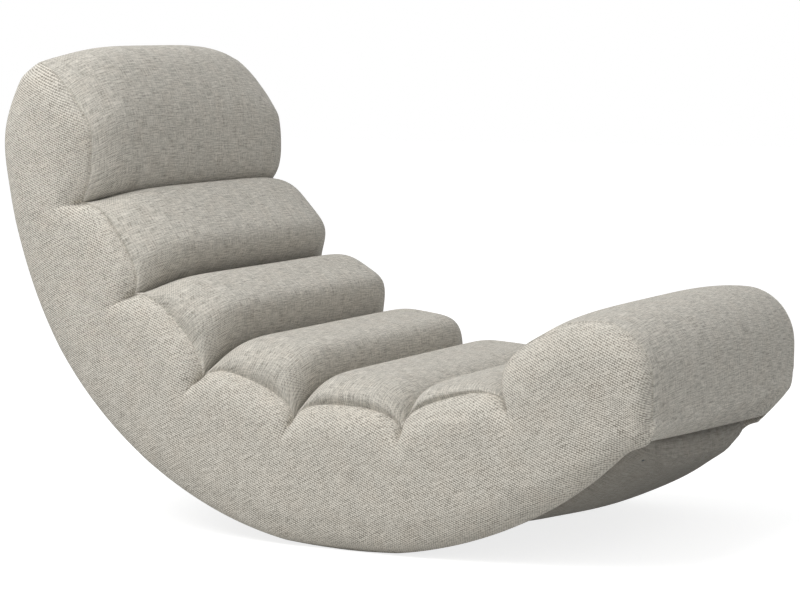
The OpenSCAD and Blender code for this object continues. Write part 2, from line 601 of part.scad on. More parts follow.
// The padded panel between them: flush at its ends, crowned where the floor leaves room.
cloth_gap = 2;
n_panel = 22;
n_panel_back = 8;
panel_seat = 0.9;
panel_bs = concat([for (i = [0:n_panel]) tuck_a + (back_from - tuck_a) * i / n_panel],
    [for (i = [1:n_panel_back]) back_from + (head_from - back_from) * i / n_panel_back]);
function panel_fade(k) = let (n = n_panel + n_panel_back)
    sin(90 * min(k / 1.4, (n - k) / 3, 1));
module underside_cover() color("Gray") placed() let (n = n_panel + n_panel_back,
    w = rail_w - cloth_gap, us = stations(6))
    loft([for (u = us) ring3(u * w, concat(
        [for (k = [n:-1:0]) let (b = panel_bs[k])
            outer(b, edge_strip_t - under_cloth_t
                - (under_cloth_t + floor_free(b, under_crown - under_cloth_t))
                * panel_fade(k) * swell(u, 2.6))],
        [for (k = [0:n]) outer(panel_bs[k], edge_strip_t - panel_seat)]))], strip_caps(n));

// The leg roll's cloth is folded in under the chin, in pleats past the board's end
n_pleat = 4;
n_tuck = 4;
tuck_y = min(skin_y, outer(board_a, cover_in)[0]) - 0.3;
module chin_tuck() color("DarkKhaki") placed() across(-half_w, half_w) polygon(concat(
    [for (i = [n_tuck:-1:0]) outer(board_a + 0.05 + (tuck_a - board_a - 0.1) * i / n_tuck,
        cover_in - 0.3)],
    [[tuck_y, outer(board_a, cover_in)[1] + 1], [tuck_y, leg_pt(n_leg, deck_in)[1] - 1]],
    [for (i = [0:2 * n_pleat])
        outer(chin_a + 0.1 + (tuck_a - chin_a - 0.15) * i / (2 * n_pleat),
            i % 2 == 0 ? 1.2 : 3.6)]));

side_rib_left();
side_rib_right();
centre_rib();
rocker_board();
leg_skin();
leg_rail();
knee_rail();
seat_rail();
hip_rail();
lumbar_rail();
back_rail();
shoulder_rail();
head_rail();
ballast_plate_left();
ballast_plate_right();
ballast_bolts();
ballast_washers();
ballast_nuts();
rib_screws();
board_screws();
seat_webbing();
back_webbing();
strap_tacks();
seat_deck();
back_deck();
leg_roll();
seat_front_roll();
seat_middle_roll();
seat_rear_roll();
lumbar_roll();
upper_back_roll();
head_roll();
side_pad_left();
side_pad_right();
rocking_edge_left();
rocking_edge_right();
underside_cover();
chin_tuck();
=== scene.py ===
"""Dresses the upholstered floor rocker: padded cloth rolls, side pads, underside and frame.

Sizes are in millimetres in the profile frame (y = 0 under the rocking centre) until a mesh
is made; meshes are in metres in the shared frame.
"""

from __future__ import annotations

import logging
import math
from dataclasses import dataclass, field
from enum import Enum

import bmesh
import bpy
import numpy as np
from mathutils import Matrix, Vector


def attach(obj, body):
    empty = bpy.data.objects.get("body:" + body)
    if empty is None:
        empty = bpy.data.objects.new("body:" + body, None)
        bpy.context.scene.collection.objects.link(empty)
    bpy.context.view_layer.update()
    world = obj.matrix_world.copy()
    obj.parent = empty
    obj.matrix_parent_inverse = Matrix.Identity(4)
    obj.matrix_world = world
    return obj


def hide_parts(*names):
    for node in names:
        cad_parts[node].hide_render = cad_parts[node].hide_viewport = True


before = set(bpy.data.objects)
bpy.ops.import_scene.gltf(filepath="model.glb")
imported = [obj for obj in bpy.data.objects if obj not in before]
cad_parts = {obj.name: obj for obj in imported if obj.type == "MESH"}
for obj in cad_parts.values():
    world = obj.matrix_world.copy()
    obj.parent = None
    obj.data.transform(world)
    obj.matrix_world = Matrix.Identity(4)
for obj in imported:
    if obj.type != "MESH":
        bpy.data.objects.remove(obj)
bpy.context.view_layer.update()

LOG = logging.getLogger("floor_rocker")
MM = 0.001
BODY = "root"
SEAM_SPAN = 634.0
NO_SEAM = 60.0
Array = np.ndarray


class Slot(Enum):
    """Material slots of the part's record."""

    TOP = "top_cloth"
    SIDE = "side_cloth"
    # Painted shade: the underside pieces take a darker copy of the top linen.
    UNDER_PAINTED_SHADE = "underside_cloth"
    PLY = "plywood_ribs"
    BOARD = "bent_board"
    PINE = "softwood_rails"
    STEEL = "ballast_steel"
    ZINC = "zinc_fasteners"
    WEB = "webbing"
    FOAM = "deck_foam"


def unit(v: Array) -> Array:
    """Return vectors scaled to length one."""
    return v / np.maximum(np.linalg.norm(v, axis=-1, keepdims=True), 1e-12)


def left(v: Array) -> Array:
    """Return plane vectors turned a quarter to the left."""
    return np.stack([-v[..., 1], v[..., 0]], axis=-1)


def down(angle: float | Array) -> Array:
    """Return the outward direction of the underside at an angle in degrees."""
    a = np.radians(angle)
    return np.stack([np.sin(a), -np.cos(a)], axis=-1)


def stations(count: int, ends: float = 0.0) -> Array:
    """Return numbers from 0 to 1, closer together at both ends where ends is above 0."""
    k = np.linspace(0.0, 1.0, count)
    return (1 - ends) * k + ends * (1 - np.cos(math.pi * k)) / 2


def resample(path: Array, count: int, ends: float = 0.0) -> Array:
    """Place points along a polyline by its length.

    Args:
        path: Points of the polyline, one per row.
        count: How many points to return.
        ends: 0 for even steps, up to 1 for much finer steps at both ends.

    Returns:
        The points, the polyline's two ends included.
    """
    s = arc_length(path)
    t = stations(count, ends) * s[-1]
    return np.stack([np.interp(t, s, path[:, i]) for i in range(path.shape[1])], axis=1)


def resample_about(path: Array, cut: float, first: int, count: int) -> Array:
    """Place points along a polyline so that one of them falls on a given length.

    Args:
        path: Points of the polyline, one per row.
        cut: The length at which point number first - 1 lies.
        first: How many points lead up to the cut.
        count: How many points to return.

    Returns:
        The points, evenly spaced on either side of the cut.
    """
    s = arc_length(path)
    beyond = np.linspace(cut, s[-1], count - first + 1)[1:]
    t = np.concatenate([np.linspace(0, cut, first), beyond])
    return np.stack([np.interp(t, s, path[:, i]) for i in range(path.shape[1])], axis=1)


def bell(half: int, step: float, spread: float) -> Array:
    """Return the weights of a bell curve over 2 * half + 1 samples; they add up to one."""
    kernel = np.exp(-0.5 * (np.arange(-half, half + 1) * step / spread) ** 2)
    return kernel / kernel.sum()


def smooth_table(
    at: tuple[float, ...], values: tuple[float, ...], b: Array, blur: float = 5.0
) -> Array:
    """Read a table of heights over angles with its corners rounded.

    Args:
        at: Angles of the table in degrees.
        values: Heights at those angles.
        b: Angles to read.
        blur: Width of the rounding in degrees.

    Returns:
        One height for each angle of b.
    """
    step, half = 0.5, 40
    grid = np.arange(-130.0, 221.0, step)
    wide = np.pad(np.interp(grid, at, values), half, "edge")
    return np.interp(b, grid, np.convolve(wide, bell(half, step, blur), "valid"))


def evened(grid: Array, spread: float, weight: Array | float = 1.0) -> Array:
    """Smooth a grid along its rows' direction.

    Args:
        grid: Values, rows first; more axes may follow.
        spread: Width of the smoothing in rows.
        weight: How much of it to take, 0 to 1, at each point.

    Returns:
        The smoothed grid.
    """
    half = int(3 * spread)
    wide = np.pad(grid, [(half, half)] + [(0, 0)] * (grid.ndim - 1), "edge")
    out = sum(k * wide[i : i + len(grid)] for i, k in enumerate(bell(half, 1.0, spread)))
    return grid + (out - grid) * weight


def eased(x: Array) -> Array:
    """Return values from 0 to 1 with a soft start and a soft end."""
    return x * x * (3 - 2 * x)


def arc_length(path: Array) -> Array:
    """Return the running length along a polyline."""
    step = np.linalg.norm(np.diff(path, axis=0), axis=1)
    return np.concatenate([[0.0], np.cumsum(step)])


def running(grid: Array, axis: int) -> Array:
    """Return the running length over a grid of points, along axis 0 or 1."""
    step = np.linalg.norm(np.diff(grid, axis=axis), axis=2)
    return np.insert(np.cumsum(step, axis=axis), 0, 0.0, axis=axis)


def sheet(x: Array, yz: Array) -> Array:
    """Return a grid of points from the stations across and one section, or one for each."""
    yz = np.broadcast_to(yz, (len(x), *yz.shape[-2:]))
    return np.concatenate([np.broadcast_to(x[:, None, None], (*yz.shape[:2], 1)), yz], axis=2)


def woven(x: Array, run: Array) -> Array:
    """Return cloth coordinates from the stations across and the running length."""
    return np.stack(np.meshgrid(x, run, indexing="ij"), axis=2)


def sewn_round(shape: tuple[int, ...]) -> Array:
    """Return which points of a grid lie on its rim."""
    held = np.zeros(shape[:2], bool)
    held[0] = held[-1] = held[:, 0] = held[:, -1] = True
    return held


def soften(path: Array, spread: float, centre: float, reach: float) -> Array:
    """Round a polyline's corner and leave the rest of it as it is.

    Args:
        path: Evenly spaced points.
        spread: Width of the rounding in millimetres.
        centre: Where the corner is, as arc length.
        reach: How far before and after the corner the rounding acts.

    Returns:
        The rounded polyline with the same number of points.
    """
    s = arc_length(path)
    step = s[-1] / (len(path) - 1)
    half = max(1, int(3 * spread / step))
    kernel = bell(half, step, spread)
    before = 2 * path[0] - path[half:0:-1]
    beyond = 2 * path[-1] - path[-2 : -half - 2 : -1]
    wide = np.vstack([before, path, beyond])
    smooth = np.stack([np.convolve(wide[:, i], kernel, "valid") for i in range(2)], axis=1)
    w = np.exp(-0.5 * ((s - centre) / reach) ** 4)[:, None]
    return path * (1 - w) + smooth * w


@dataclass(frozen=True)
class Outline:
    """The chair's side profile, from the same sizes as the CAD part.

    Angles are in degrees round the rocking centre, 0 straight down and the head's side above 0.
    slip_* shape the askew line of the fold, lip is how far the cloth hangs there.
    """

    rocker_radius: float = 711.0
    frame_width: float = 626.0
    rest_flat: float = 0.5
    knee_angle: float = -33.4
    widths: tuple[float, ...] = (203.0, 208.0, 192.0, 195.0, 187.0)
    depths: tuple[float, ...] = (185.0, 207.0, 207.0, 187.0, 184.0, 149.0)
    back_from: float = 78.0
    back_radius: float = 334.0
    head_from: float = 118.0
    head_radius: float = 93.0
    leg_radius: float = 100.0
    leg_angle: float = -49.0
    leg_inset: float = 111.0
    chin_radius: float = 40.0
    tuck_w: float = 42.0
    fold_w: float = 12.0
    slip_mid: float = 2.2
    slip_slope: float = 0.0085
    slip_lead: float = 0.8
    slip_tail: tuple[float, float] = (14.0, 13.5)
    slip_band: tuple[float, float] = (0.85, 0.1)
    lip: float = 18.0
    lip_thin: float = 0.2
    lip_from: float = 78.0
    lip_fade: float = 2.0
    floor_share: float = 0.8
    deck_foam: float = 28.0
    deck_stop: float = 16.0
    seam_rise: float = 31.0
    crown_leg: float = 6.0
    top_angle: float = 188.0

    @property
    def half_w(self) -> float:
        """Half the width over the ribs."""
        return self.frame_width / 2

    @property
    def zc(self) -> float:
        """Height of the rocking centre."""
        return self.rocker_radius - self.rest_flat

    def polar(self, angle: float | Array, radius: float | Array) -> Array:
        """Return the point at an angle and radius from the rocking centre."""
        r = np.asarray(radius, float)
        return np.array([0.0, self.zc]) + r[..., None] * down(angle)

    @property
    def c_back(self) -> Array:
        """Centre of the back curve."""
        return self.polar(self.back_from, self.rocker_radius - self.back_radius)

    @property
    def c_head(self) -> Array:
        """Centre of the head curve."""
        return self.c_back + (self.back_radius - self.head_radius) * down(self.head_from)

    @property
    def leg_c(self) -> Array:
        """Centre of the leg roll."""
        return self.polar(self.leg_angle, self.rocker_radius - self.leg_inset)

    @property
    def leg_y(self) -> float:
        """Foremost point of the leg roll."""
        return float(self.leg_c[0] - self.leg_radius)

    @property
    def chin_a(self) -> float:
        """Angle at which the rocking curve turns up under the leg roll."""
        reach = (-self.leg_y - self.chin_radius) / (self.rocker_radius - self.chin_radius)
        return -math.degrees(math.asin(reach))

    @property
    def tuck_a(self) -> float:
        """Angle at which the tucked cloth ends."""
        return self.chin_a + math.degrees(self.tuck_w / self.rocker_radius)

    @property
    def fold_a(self) -> float:
        """Angle at which the leg roll's cloth turns in to the tuck."""
        return self.tuck_a - math.degrees(self.fold_w / self.rocker_radius)

    @property
    def y_mid(self) -> float:
        """Middle of the whole length, which the shared frame has at y = 0."""
        far = self.c_back[0] + self.back_radius
        return float((far + self.leg_y - self.crown_leg) / 2)

    def outer(self, b: float | Array, inset: float | Array = 0.0) -> Array:
        """Return points of the outer curve.

        Args:
            b: Angles of the outward normal in degrees.
            inset: Distance inside the curve.

        Returns:
            Points as (y, z) rows.
        """
        b = np.atleast_1d(np.asarray(b, float))
        d = np.broadcast_to(np.asarray(inset, float), b.shape)[:, None]
        chin = self.polar(self.chin_a, self.rocker_radius - self.chin_radius)
        n = down(b)
        out = self.polar(b, self.rocker_radius - d[:, 0])
        for part, centre, radius in (
            (b < self.chin_a, chin, self.chin_radius),
            (b > self.back_from, self.c_back, self.back_radius),
            (b > self.head_from, self.c_head, self.head_radius),
        ):
            out = np.where(part[:, None], centre + (radius - d) * n, out)
        return out

    @property
    def crease_angles(self) -> list[float]:
        """Angles of the six creases, from the knee to the shoulder."""
        out = [self.knee_angle]
        for j, w in enumerate(self.widths):
            r0 = self.rocker_radius - self.depths[j]
            r1 = self.rocker_radius - self.depths[j + 1]
            out.append(out[-1] + 2 * math.degrees(math.asin(w / (r0 + r1))))
        return out

    @property
    def creases(self) -> Array:
        """Crease points, from the knee to the shoulder, and the seam's top end."""
        pts = [
            self.polar(a, self.rocker_radius - d) for a, d in zip(self.crease_angles, self.depths)
        ]
        return np.array(pts + [self.outer(self.top_angle)[0]])

    @property
    def ramp_angle(self) -> float:
        """Angle on the leg roll at which the ramp from the knee touches it."""
        v = self.creases[0] - self.leg_c
        return math.degrees(math.atan2(v[1], v[0])) + math.degrees(
            math.acos(self.leg_radius / np.linalg.norm(v))
        )

    def leg_arc(self, t: Array, inset: float = 0.0) -> Array:
        """Return points round the leg roll, t from 0 at the ramp to 1 at its front."""
        a = np.radians(self.ramp_angle + (180 - self.ramp_angle) * np.atleast_1d(t))
        ring = np.stack([np.cos(a), np.sin(a)], axis=1)
        return self.leg_c + (self.leg_radius - inset) * ring

    @property
    def facets(self) -> Array:
        """Directions of the facets that leave each crease, the ramp first."""
        c = self.creases
        ramp = unit(c[0] - self.leg_arc(np.array([0.0]))[0])
        return np.array([ramp] + [unit(c[j + 1] - c[j]) for j in range(6)])

    def inward(self, j: int) -> Array:
        """Return the inward direction that halves the angle at a crease."""
        return -unit(left(self.facets[j]) + left(self.facets[j + 1]))

    def bulge(self, p: Array, q: Array, rise: float, t: Array) -> Array:
        """Return points of an arc that bulges by rise over the chord p to q."""
        w = float(np.linalg.norm(q - p))
        f = 2 * math.atan(2 * rise / w)
        r = w / 2 / math.sin(f)
        g = (q - p) / w
        s = f * (2 * t - 1)
        along, off = w / 2 + r * np.sin(s), r * np.cos(s) - r * math.cos(f)
        return p + g * along[:, None] + left(g) * off[:, None]

    def slip(self, pts: Array) -> Array:
        """Slide points near the tuck along the rocking curve, where the fold line runs askew.

        Args:
            pts: (x, y, z) points of a skin or of its back.

        Returns:
            The moved points; those away from the tuck stay.
        """
        v = pts[..., 1:] - np.array([0.0, self.zc])
        r = np.linalg.norm(v, axis=-1)
        a = np.degrees(np.arctan2(v[..., 0], -v[..., 1]))
        lead, (tail, fade), (inner, band) = self.slip_lead, self.slip_tail, self.slip_band
        rise = np.clip((a - (self.chin_a - lead)) / (self.fold_a - self.chin_a + lead / 2), 0, 1)
        fall = np.clip((self.tuck_a + tail - a) / fade, 0, 1)
        deep = np.clip((r / self.rocker_radius - inner) / band, 0, 1)
        w = eased(rise) * eased(fall) * eased(deep)
        far = 0.5 + pts[..., 0] / SEAM_SPAN
        thin = np.clip((self.tuck_a + 0.3 - a) / 0.6, 0, 1) * rise * far
        r = r - self.lip_thin * thin * np.maximum(0, r - self.rocker_radius)
        a = a + w * (self.slip_mid + self.slip_slope * pts[..., 0])
        yz = np.array([0.0, self.zc]) + r[..., None] * down(a)
        return np.concatenate([pts[..., :1], yz], axis=-1)

    def hang(self, b: Array) -> Array:
        """Return how far the leg roll's cloth hangs outside the rocking curve near the tuck."""
        start = self.lip_from
        before = eased(np.clip((b + start) / (self.fold_a + start), 0, 1) ** 1.5)
        after = np.exp(-((np.maximum(0, b - self.fold_a) / self.lip_fade) ** 2))
        return self.lip * before * after

    def over_floor(self, b: Array, most: Array) -> Array:
        """Return heights of bulging cloth, held to a share of the free height over the floor.

        Args:
            b: Angles on the rocking curve.
            most: Heights that the cloth would take if it were free.

        Returns:
            The heights; beyond 60 degrees the floor is too far away to matter.
        """
        free = 1 / np.cos(np.radians(np.clip(b, -80, 80))) - 1
        held = np.minimum(most, self.floor_share * self.rocker_radius * free)
        return np.where(np.abs(b) > 60, most, held)

    def tuck_inset(self, t: Array) -> Array:
        """Return the inset of the tucked cloth, t from 0 at the fold to 1 at the panel."""
        return 1.0 - self.lip * np.clip(1 - t, 0, 1) ** 1.4

    def deck_point(self, j: int, depth: float) -> Array:
        """Return a point of the deck under crease j, the sixth at the deck's top end."""
        if j == 6:
            way = self.facets[6]
            return self.creases[6] - way * self.deck_stop - left(way) * depth
        half_turn = math.acos(float(self.facets[j] @ self.facets[j + 1])) / 2
        return self.creases[j] + self.inward(j) * depth / math.cos(half_turn)

    def arch(self, j: int, t: Array) -> Array:
        """Return the sewn edge of a roll on the side panel, steep where it meets a crease."""
        p, q = self.creases[j], self.creases[j + 1]
        rise = self.seam_rise * np.maximum(0, 1 - np.abs(2 * t - 1) ** 2.7) ** 0.66
        return p + (q - p) * t[:, None] + left(unit(q - p)) * rise[:, None]

    def to_frame(self, pts: Array) -> Array:
        """Return (x, y, z) points in metres in the shared frame."""
        return (pts - np.array([0.0, self.y_mid, 0.0])) * MM


OUT = Outline()


@dataclass
class SkinGrid:
    """A padded piece as two grids of points: the cloth that shows and the side it rests on.

    Both have the same rows and columns, and their rims are joined. weave holds the cloth's
    own coordinates, rim the distance to the nearest sewn seam, held the points that the
    swelling leaves in place. cap is the most it may swell, even smooths that along the rows,
    fill says how full the piece is.
    """

    name: str
    skin: Array
    back: Array
    weave: Array
    rim: Array
    held: Array
    slot: Slot
    cap: float = 6.0
    fill: float = 0.8
    even: float = 0.0

    def mesh(self) -> bpy.types.Object:
        """Build the closed mesh with its cloth coordinates.

        Returns:
            The linked object, its vertices in the shared frame.
        """
        self.skin, self.back = OUT.slip(self.skin), OUT.slip(self.back)
        rows, cols = self.skin.shape[:2]
        n = rows * cols
        pts = np.vstack([self.skin.reshape(-1, 3), self.back.reshape(-1, 3)])
        ids = np.arange(n).reshape(rows, cols)
        a, b, c, d = ids[:-1, :-1], ids[1:, :-1], ids[1:, 1:], ids[:-1, 1:]
        top = np.stack([a, b, c, d], axis=-1).reshape(-1, 4)
        low = top[:, ::-1] + n
        loop = np.concatenate([ids[0, :-1], ids[:-1, -1], ids[-1, :0:-1], ids[:0:-1, 0]])
        after = np.roll(loop, -1)
        side = np.stack([loop, after, after + n, loop + n], axis=-1)
        obj = closed_mesh(self.name, OUT.to_frame(pts), np.vstack([top, low, side]).tolist())
        me = obj.data
        weave = np.zeros((2 * n, 3), np.float32)
        weave[:n, :2] = weave[n:, :2] = self.weave.reshape(-1, 2) * MM
        att = me.attributes.new("weave", "FLOAT_VECTOR", "POINT")
        att.data.foreach_set("vector", weave.ravel())
        rim = np.tile(self.rim.reshape(-1), 2).astype(np.float32) * MM
        shown = np.repeat([1.0, 0.0], n).astype(np.float32)
        for name, values in (("rim", rim), ("shown", shown)):
            me.attributes.new(name, "FLOAT", "POINT").data.foreach_set("value", values)
        group = obj.vertex_groups.new(name="held")
        held = np.concatenate([self.held.reshape(-1), np.ones(n, bool)])
        group.add(np.nonzero(held)[0].tolist(), 1.0, "REPLACE")
        return obj


def link(obj: bpy.types.Object) -> bpy.types.Object:
    """Put an object into the scene and return it."""
    bpy.context.scene.collection.objects.link(obj)
    return obj


def closed_mesh(name: str, pts: Array, faces: list[list[int]]) -> bpy.types.Object:
    """Make a smooth closed piece with its faces turned outwards.

    Args:
        name: Name of the piece.
        pts: Vertices in metres in the shared frame.
        faces: Vertex numbers of each face.

    Returns:
        The linked object.
    """
    me = bpy.data.meshes.new(name)
    me.from_pydata(pts.tolist(), [], faces)
    bm = bmesh.new()
    bm.from_mesh(me)
    bmesh.ops.recalc_face_normals(bm, faces=bm.faces)
    bm.to_mesh(me)
    bm.free()
    me.polygons.foreach_set("use_smooth", [True] * len(me.polygons))
    return link(bpy.data.objects.new(name, me))


def bake_in(obj: bpy.types.Object) -> None:
    """Turn an object's modifiers into a plain mesh and remove them."""
    graph = bpy.context.evaluated_depsgraph_get()
    me = bpy.data.meshes.new_from_object(obj.evaluated_get(graph), depsgraph=graph)
    obj.modifiers.clear()
    old, obj.data = obj.data, me
    bpy.data.meshes.remove(old)
    me.name = obj.name


def coords(obj: bpy.types.Object) -> Array:
    """Return an object's vertex positions as rows."""
    co = np.empty(len(obj.data.vertices) * 3, np.float32)
    obj.data.vertices.foreach_get("co", co)
    return co.reshape(-1, 3).astype(float)


def set_coords(obj: bpy.types.Object, co: Array) -> None:
    """Write an object's vertex positions."""
    obj.data.vertices.foreach_set("co", co.astype(np.float32).ravel())
    obj.data.update()


def attribute(obj: bpy.types.Object, name: str) -> Array:
    """Return a point attribute's values, one row per vertex."""
    att = obj.data.attributes[name]
    wide = att.data_type == "FLOAT_VECTOR"
    out = np.empty(len(obj.data.vertices) * (3 if wide else 1), np.float32)
    att.data.foreach_get("vector" if wide else "value", out)
    return (out.reshape(-1, 3) if wide else out).astype(float)


def normals(obj: bpy.types.Object) -> Array:
    """Return an object's vertex normals as rows."""
    out = np.empty(len(obj.data.vertices) * 3, np.float32)
    obj.data.vertex_normals.foreach_get("vector", out)
    return out.reshape(-1, 3).astype(float)


@dataclass
class Inflation:
    """The cloth simulation that swells every padded piece, whose result is then kept."""

    pressure: float = 4.0
    frames: int = 20
    tension: float = 15.0

    def run(self, pieces: list[tuple[SkinGrid, bpy.types.Object]]) -> None:
        """Simulate all the pieces together and apply what they reach.

        Args:
            pieces: Grids with their objects; seams and undersides are held.
        """
        for _, obj in pieces:
            self.pump(obj)
        for f in range(1, self.frames + 1):
            bpy.context.scene.frame_set(f)
        graph = bpy.context.evaluated_depsgraph_get()
        for grid, obj in pieces:
            self.keep(grid, obj, coords(obj.evaluated_get(graph)))
        bpy.context.scene.frame_set(1)
        for _, obj in pieces:
            obj.vertex_groups.clear()
            refine(obj)

    def pump(self, obj: bpy.types.Object) -> None:
        """Give a piece the cloth modifier with its pressure and held seams.

        Args:
            obj: A padded piece with its group of held points.
        """
        mod = obj.modifiers.new("swell", "CLOTH")
        s = mod.settings
        s.use_pressure = True
        s.uniform_pressure_force = self.pressure
        s.tension_stiffness = s.compression_stiffness = self.tension
        s.vertex_group_mass = "held"
        s.effector_weights.gravity = 0.0
        mod.collision_settings.use_collision = False
        mod.point_cache.frame_start = 1
        mod.point_cache.frame_end = self.frames

    def keep(self, grid: SkinGrid, obj: bpy.types.Object, swelled: Array) -> None:
        """Move a piece to where it swelled, no further than its cap.

        Args:
            grid: The piece's grid, with its cap and evening.
            obj: Its object, still at rest.
            swelled: The vertex positions that the simulation reached.
        """
        rest = coords(obj)
        move = swelled - rest
        size = np.linalg.norm(move, axis=1, keepdims=True)
        cap = grid.cap * MM
        kept = move * (cap * np.tanh(size / cap) / np.maximum(size, 1e-9))
        if grid.even:
            shape = grid.skin.shape
            n = shape[0] * shape[1]
            kept[:n] = evened(kept[:n].reshape(shape), grid.even).reshape(-1, 3)
        LOG.info("%s swells %.1f mm, kept %.1f mm", grid.name, size.max() / MM,
                 np.linalg.norm(kept, axis=1).max() / MM)
        obj.modifiers.clear()
        set_coords(obj, rest + kept)


def refine(obj: bpy.types.Object) -> None:
    """Subdivide a mesh once and keep the result as a plain mesh."""
    mod = obj.modifiers.new("refine", "SUBSURF")
    mod.levels = mod.render_levels = 1
    mod.boundary_smooth = "ALL"
    bake_in(obj)


def end_steps(half: float, fine: float, coarse: float) -> Array:
    """Return stations from -half to half with finer steps at both ends."""
    out, x, step = [half], half, fine
    while x - step > step * 0.5:
        x -= step
        out.append(x)
        step = min(coarse, step * 1.18)
    ends = np.array(out)
    return np.concatenate([-ends, [0.0] if ends[-1] > 1e-6 else [], ends[::-1]])


@dataclass
class Rolls:
    """The seven cross rolls of foam and cloth between the two side pads.

    crowns are the heights of a plain roll over its seam, near its front and its rear crease.
    powers say how square its ends are, shapes and rear_shapes how square its two flanks are.
    """

    half: float = SEAM_SPAN / 2
    end_step: tuple[float, float] = (2.2, 6.5)
    crowns: tuple[tuple[float, float], ...] = (
        (21.9, 38.0), (42.4, 53.2), (93.7, 58.1), (97.8, 59.6), (82.0, 50.4))
    powers: tuple[float, ...] = (12.0, 16.0, 15.4, 12.3, 5.7)
    names: tuple[str, ...] = (
        "seat_front_roll", "seat_middle_roll", "seat_rear_roll", "lumbar_roll", "upper_back_roll")
    shapes: tuple[float, ...] = (2.9, 4.0, 4.2, 4.4, 4.4)
    rear_shapes: tuple[float, ...] = (4.6, 4.6, 4.3, 4.1, 4.6)
    crease_bow: tuple[float, ...] = (0.0, 14.3, 0.0, 0.0, 6.2, 0.0)
    tilts: tuple[float, ...] = (0.0, -3.6, 9.6, -3.0, 0.0, -16.0)
    end_bulge: float = 16.8
    leg_crown: float = 5.0
    leg_seam: float = -6.0
    leg_power: float = 4.0
    leg_foam: float = 27.0
    leg_cols: int = 104
    leg_cap: float = 3.0
    head_crown: float = 28.4
    head_over: float = 14.8
    head_turn: float = 0.47
    head_meet: float = 142.0
    head_sweep: float = 0.16
    ramp_bulge: float = 42.4
    ramp_reach: float = 90.1
    head_mid_spread: float = 29.6
    head_power: float = 11.6
    head_shape: float = 4.36
    head_corner: float = 3.18
    corner_from: float = 123.2
    corner_blend: float = 21.1
    corner_near: float = 2.0
    head_cols: int = 112
    head_first: int = 62
    head_foam: float = 14.0
    head_rest: float = 5.0
    head_cap: float = 4.0
    gap: float = 0.4
    cols: int = 46
    ends: float = 0.5
    swell_room: float = 4.0
    deck_round: float = 135.0
    deck_cut: float = 95.0
    leg_seam_path: Array | None = field(default=None, init=False)
    head_seam: Array | None = field(default=None, init=False)
    head_tip: Array | None = field(default=None, init=False)

    def across(self) -> tuple[Array, Array, Array]:
        """Return the stations across a roll, those of its resting side and their share of half."""
        xs = end_steps(self.half, *self.end_step)
        return xs, np.clip(xs, -OUT.half_w, OUT.half_w), np.abs(xs / self.half)

    def bowed(self, j: int) -> Array:
        """Return a crease's point at mid-width, bowed towards the legs."""
        return OUT.creases[j] - OUT.facets[j] * self.crease_bow[j]

    def wall(self, j: int) -> Array:
        """Return the direction of the contact between the two rolls at a crease."""
        a, m = math.radians(self.tilts[j]), OUT.inward(j)
        return m * math.cos(a) + left(m) * math.sin(a)

    def roll(self, j: int) -> SkinGrid:
        """Return the grid of one plain roll.

        Args:
            j: Number of the roll, 0 at the front of the seat to 4 at the back.

        Returns:
            The grid, its cloth sewn down at both ends and at both creases.
        """
        c, f = OUT.creases, OUT.facets[j + 1]
        p, q = c[j] + f * self.gap, c[j + 1] - f * self.gap
        bp, bq = self.bowed(j), self.bowed(j + 1)
        g = unit(bq - bp)
        w, nrm = float(np.linalg.norm(bq - bp)), left(g)
        mp, mq = self.wall(j), self.wall(j + 1)
        lean_p, lean_q = (mp @ g) / (mp @ nrm), -(mq @ g) / (mq @ nrm)
        t = (1 - np.cos(np.linspace(0, math.pi, 240))) / 2
        front, rear = self.crowns[j]
        full = OUT.seam_rise + front + (rear - front) * t - self.swell_room
        power = np.where(t < 0.5, self.shapes[j], self.rear_shapes[j])
        h = full * np.sqrt(np.maximum(0, 1 - np.abs(2 * t - 1) ** power))
        a0, a1 = self.gap + h * lean_p, w - self.gap - h * lean_q
        mid = bp + g * (a0 + (a1 - a0) * t)[:, None] + nrm * h[:, None]
        side = OUT.arch(j, t)
        mid, side = resample(mid, self.cols, self.ends), resample(side, self.cols, self.ends)
        tt = stations(self.cols, self.ends)[:, None]
        shift = (bp - c[j]) * (1 - tt) + (bq - c[j + 1]) * tt
        xs, xb, u = self.across()
        bow = np.sqrt(np.maximum(0, 1 - u**8))[:, None, None]
        rise = (1 - u ** self.powers[j])[:, None, None]
        yz = side + shift * bow + (mid - side - shift) * rise
        height = np.linalg.norm(mid - side, axis=1)
        plump = 4 * rise * (1 - rise) * (height / height.max())[None, :, None]
        skin = sheet(xs, yz)
        skin[:, :, :1] += np.sign(xs)[:, None, None] * self.end_bulge * plump
        low = (p + (q - p) * tt)[None] + shift[None] * bow
        back = sheet(xb, low - nrm * 1.5)
        return self.grid(self.names[j], skin, back, self.cols // 2)

    def grid(self, name: str, skin: Array, back: Array, middle: int) -> SkinGrid:
        """Return the grid of a roll with its weave laid straight across.

        Args:
            name: The piece's node.
            skin: Points of the cloth, rows across the width.
            back: Points of the side that rests on the deck.
            middle: Column from which the cloth's length is counted.

        Returns:
            The grid with its seams at both ends held.
        """
        s, x = running(skin[:, :, 1:], 1), running(skin, 0)
        s -= s[:, middle : middle + 1]
        x -= x[len(skin) // 2]
        rim = np.minimum(x - x[0], x[-1] - x)
        return SkinGrid(name, skin, back, np.stack([x, s], axis=2), rim, sewn_round(skin.shape),
                        Slot.TOP, cap=self.swell_room * 1.6)

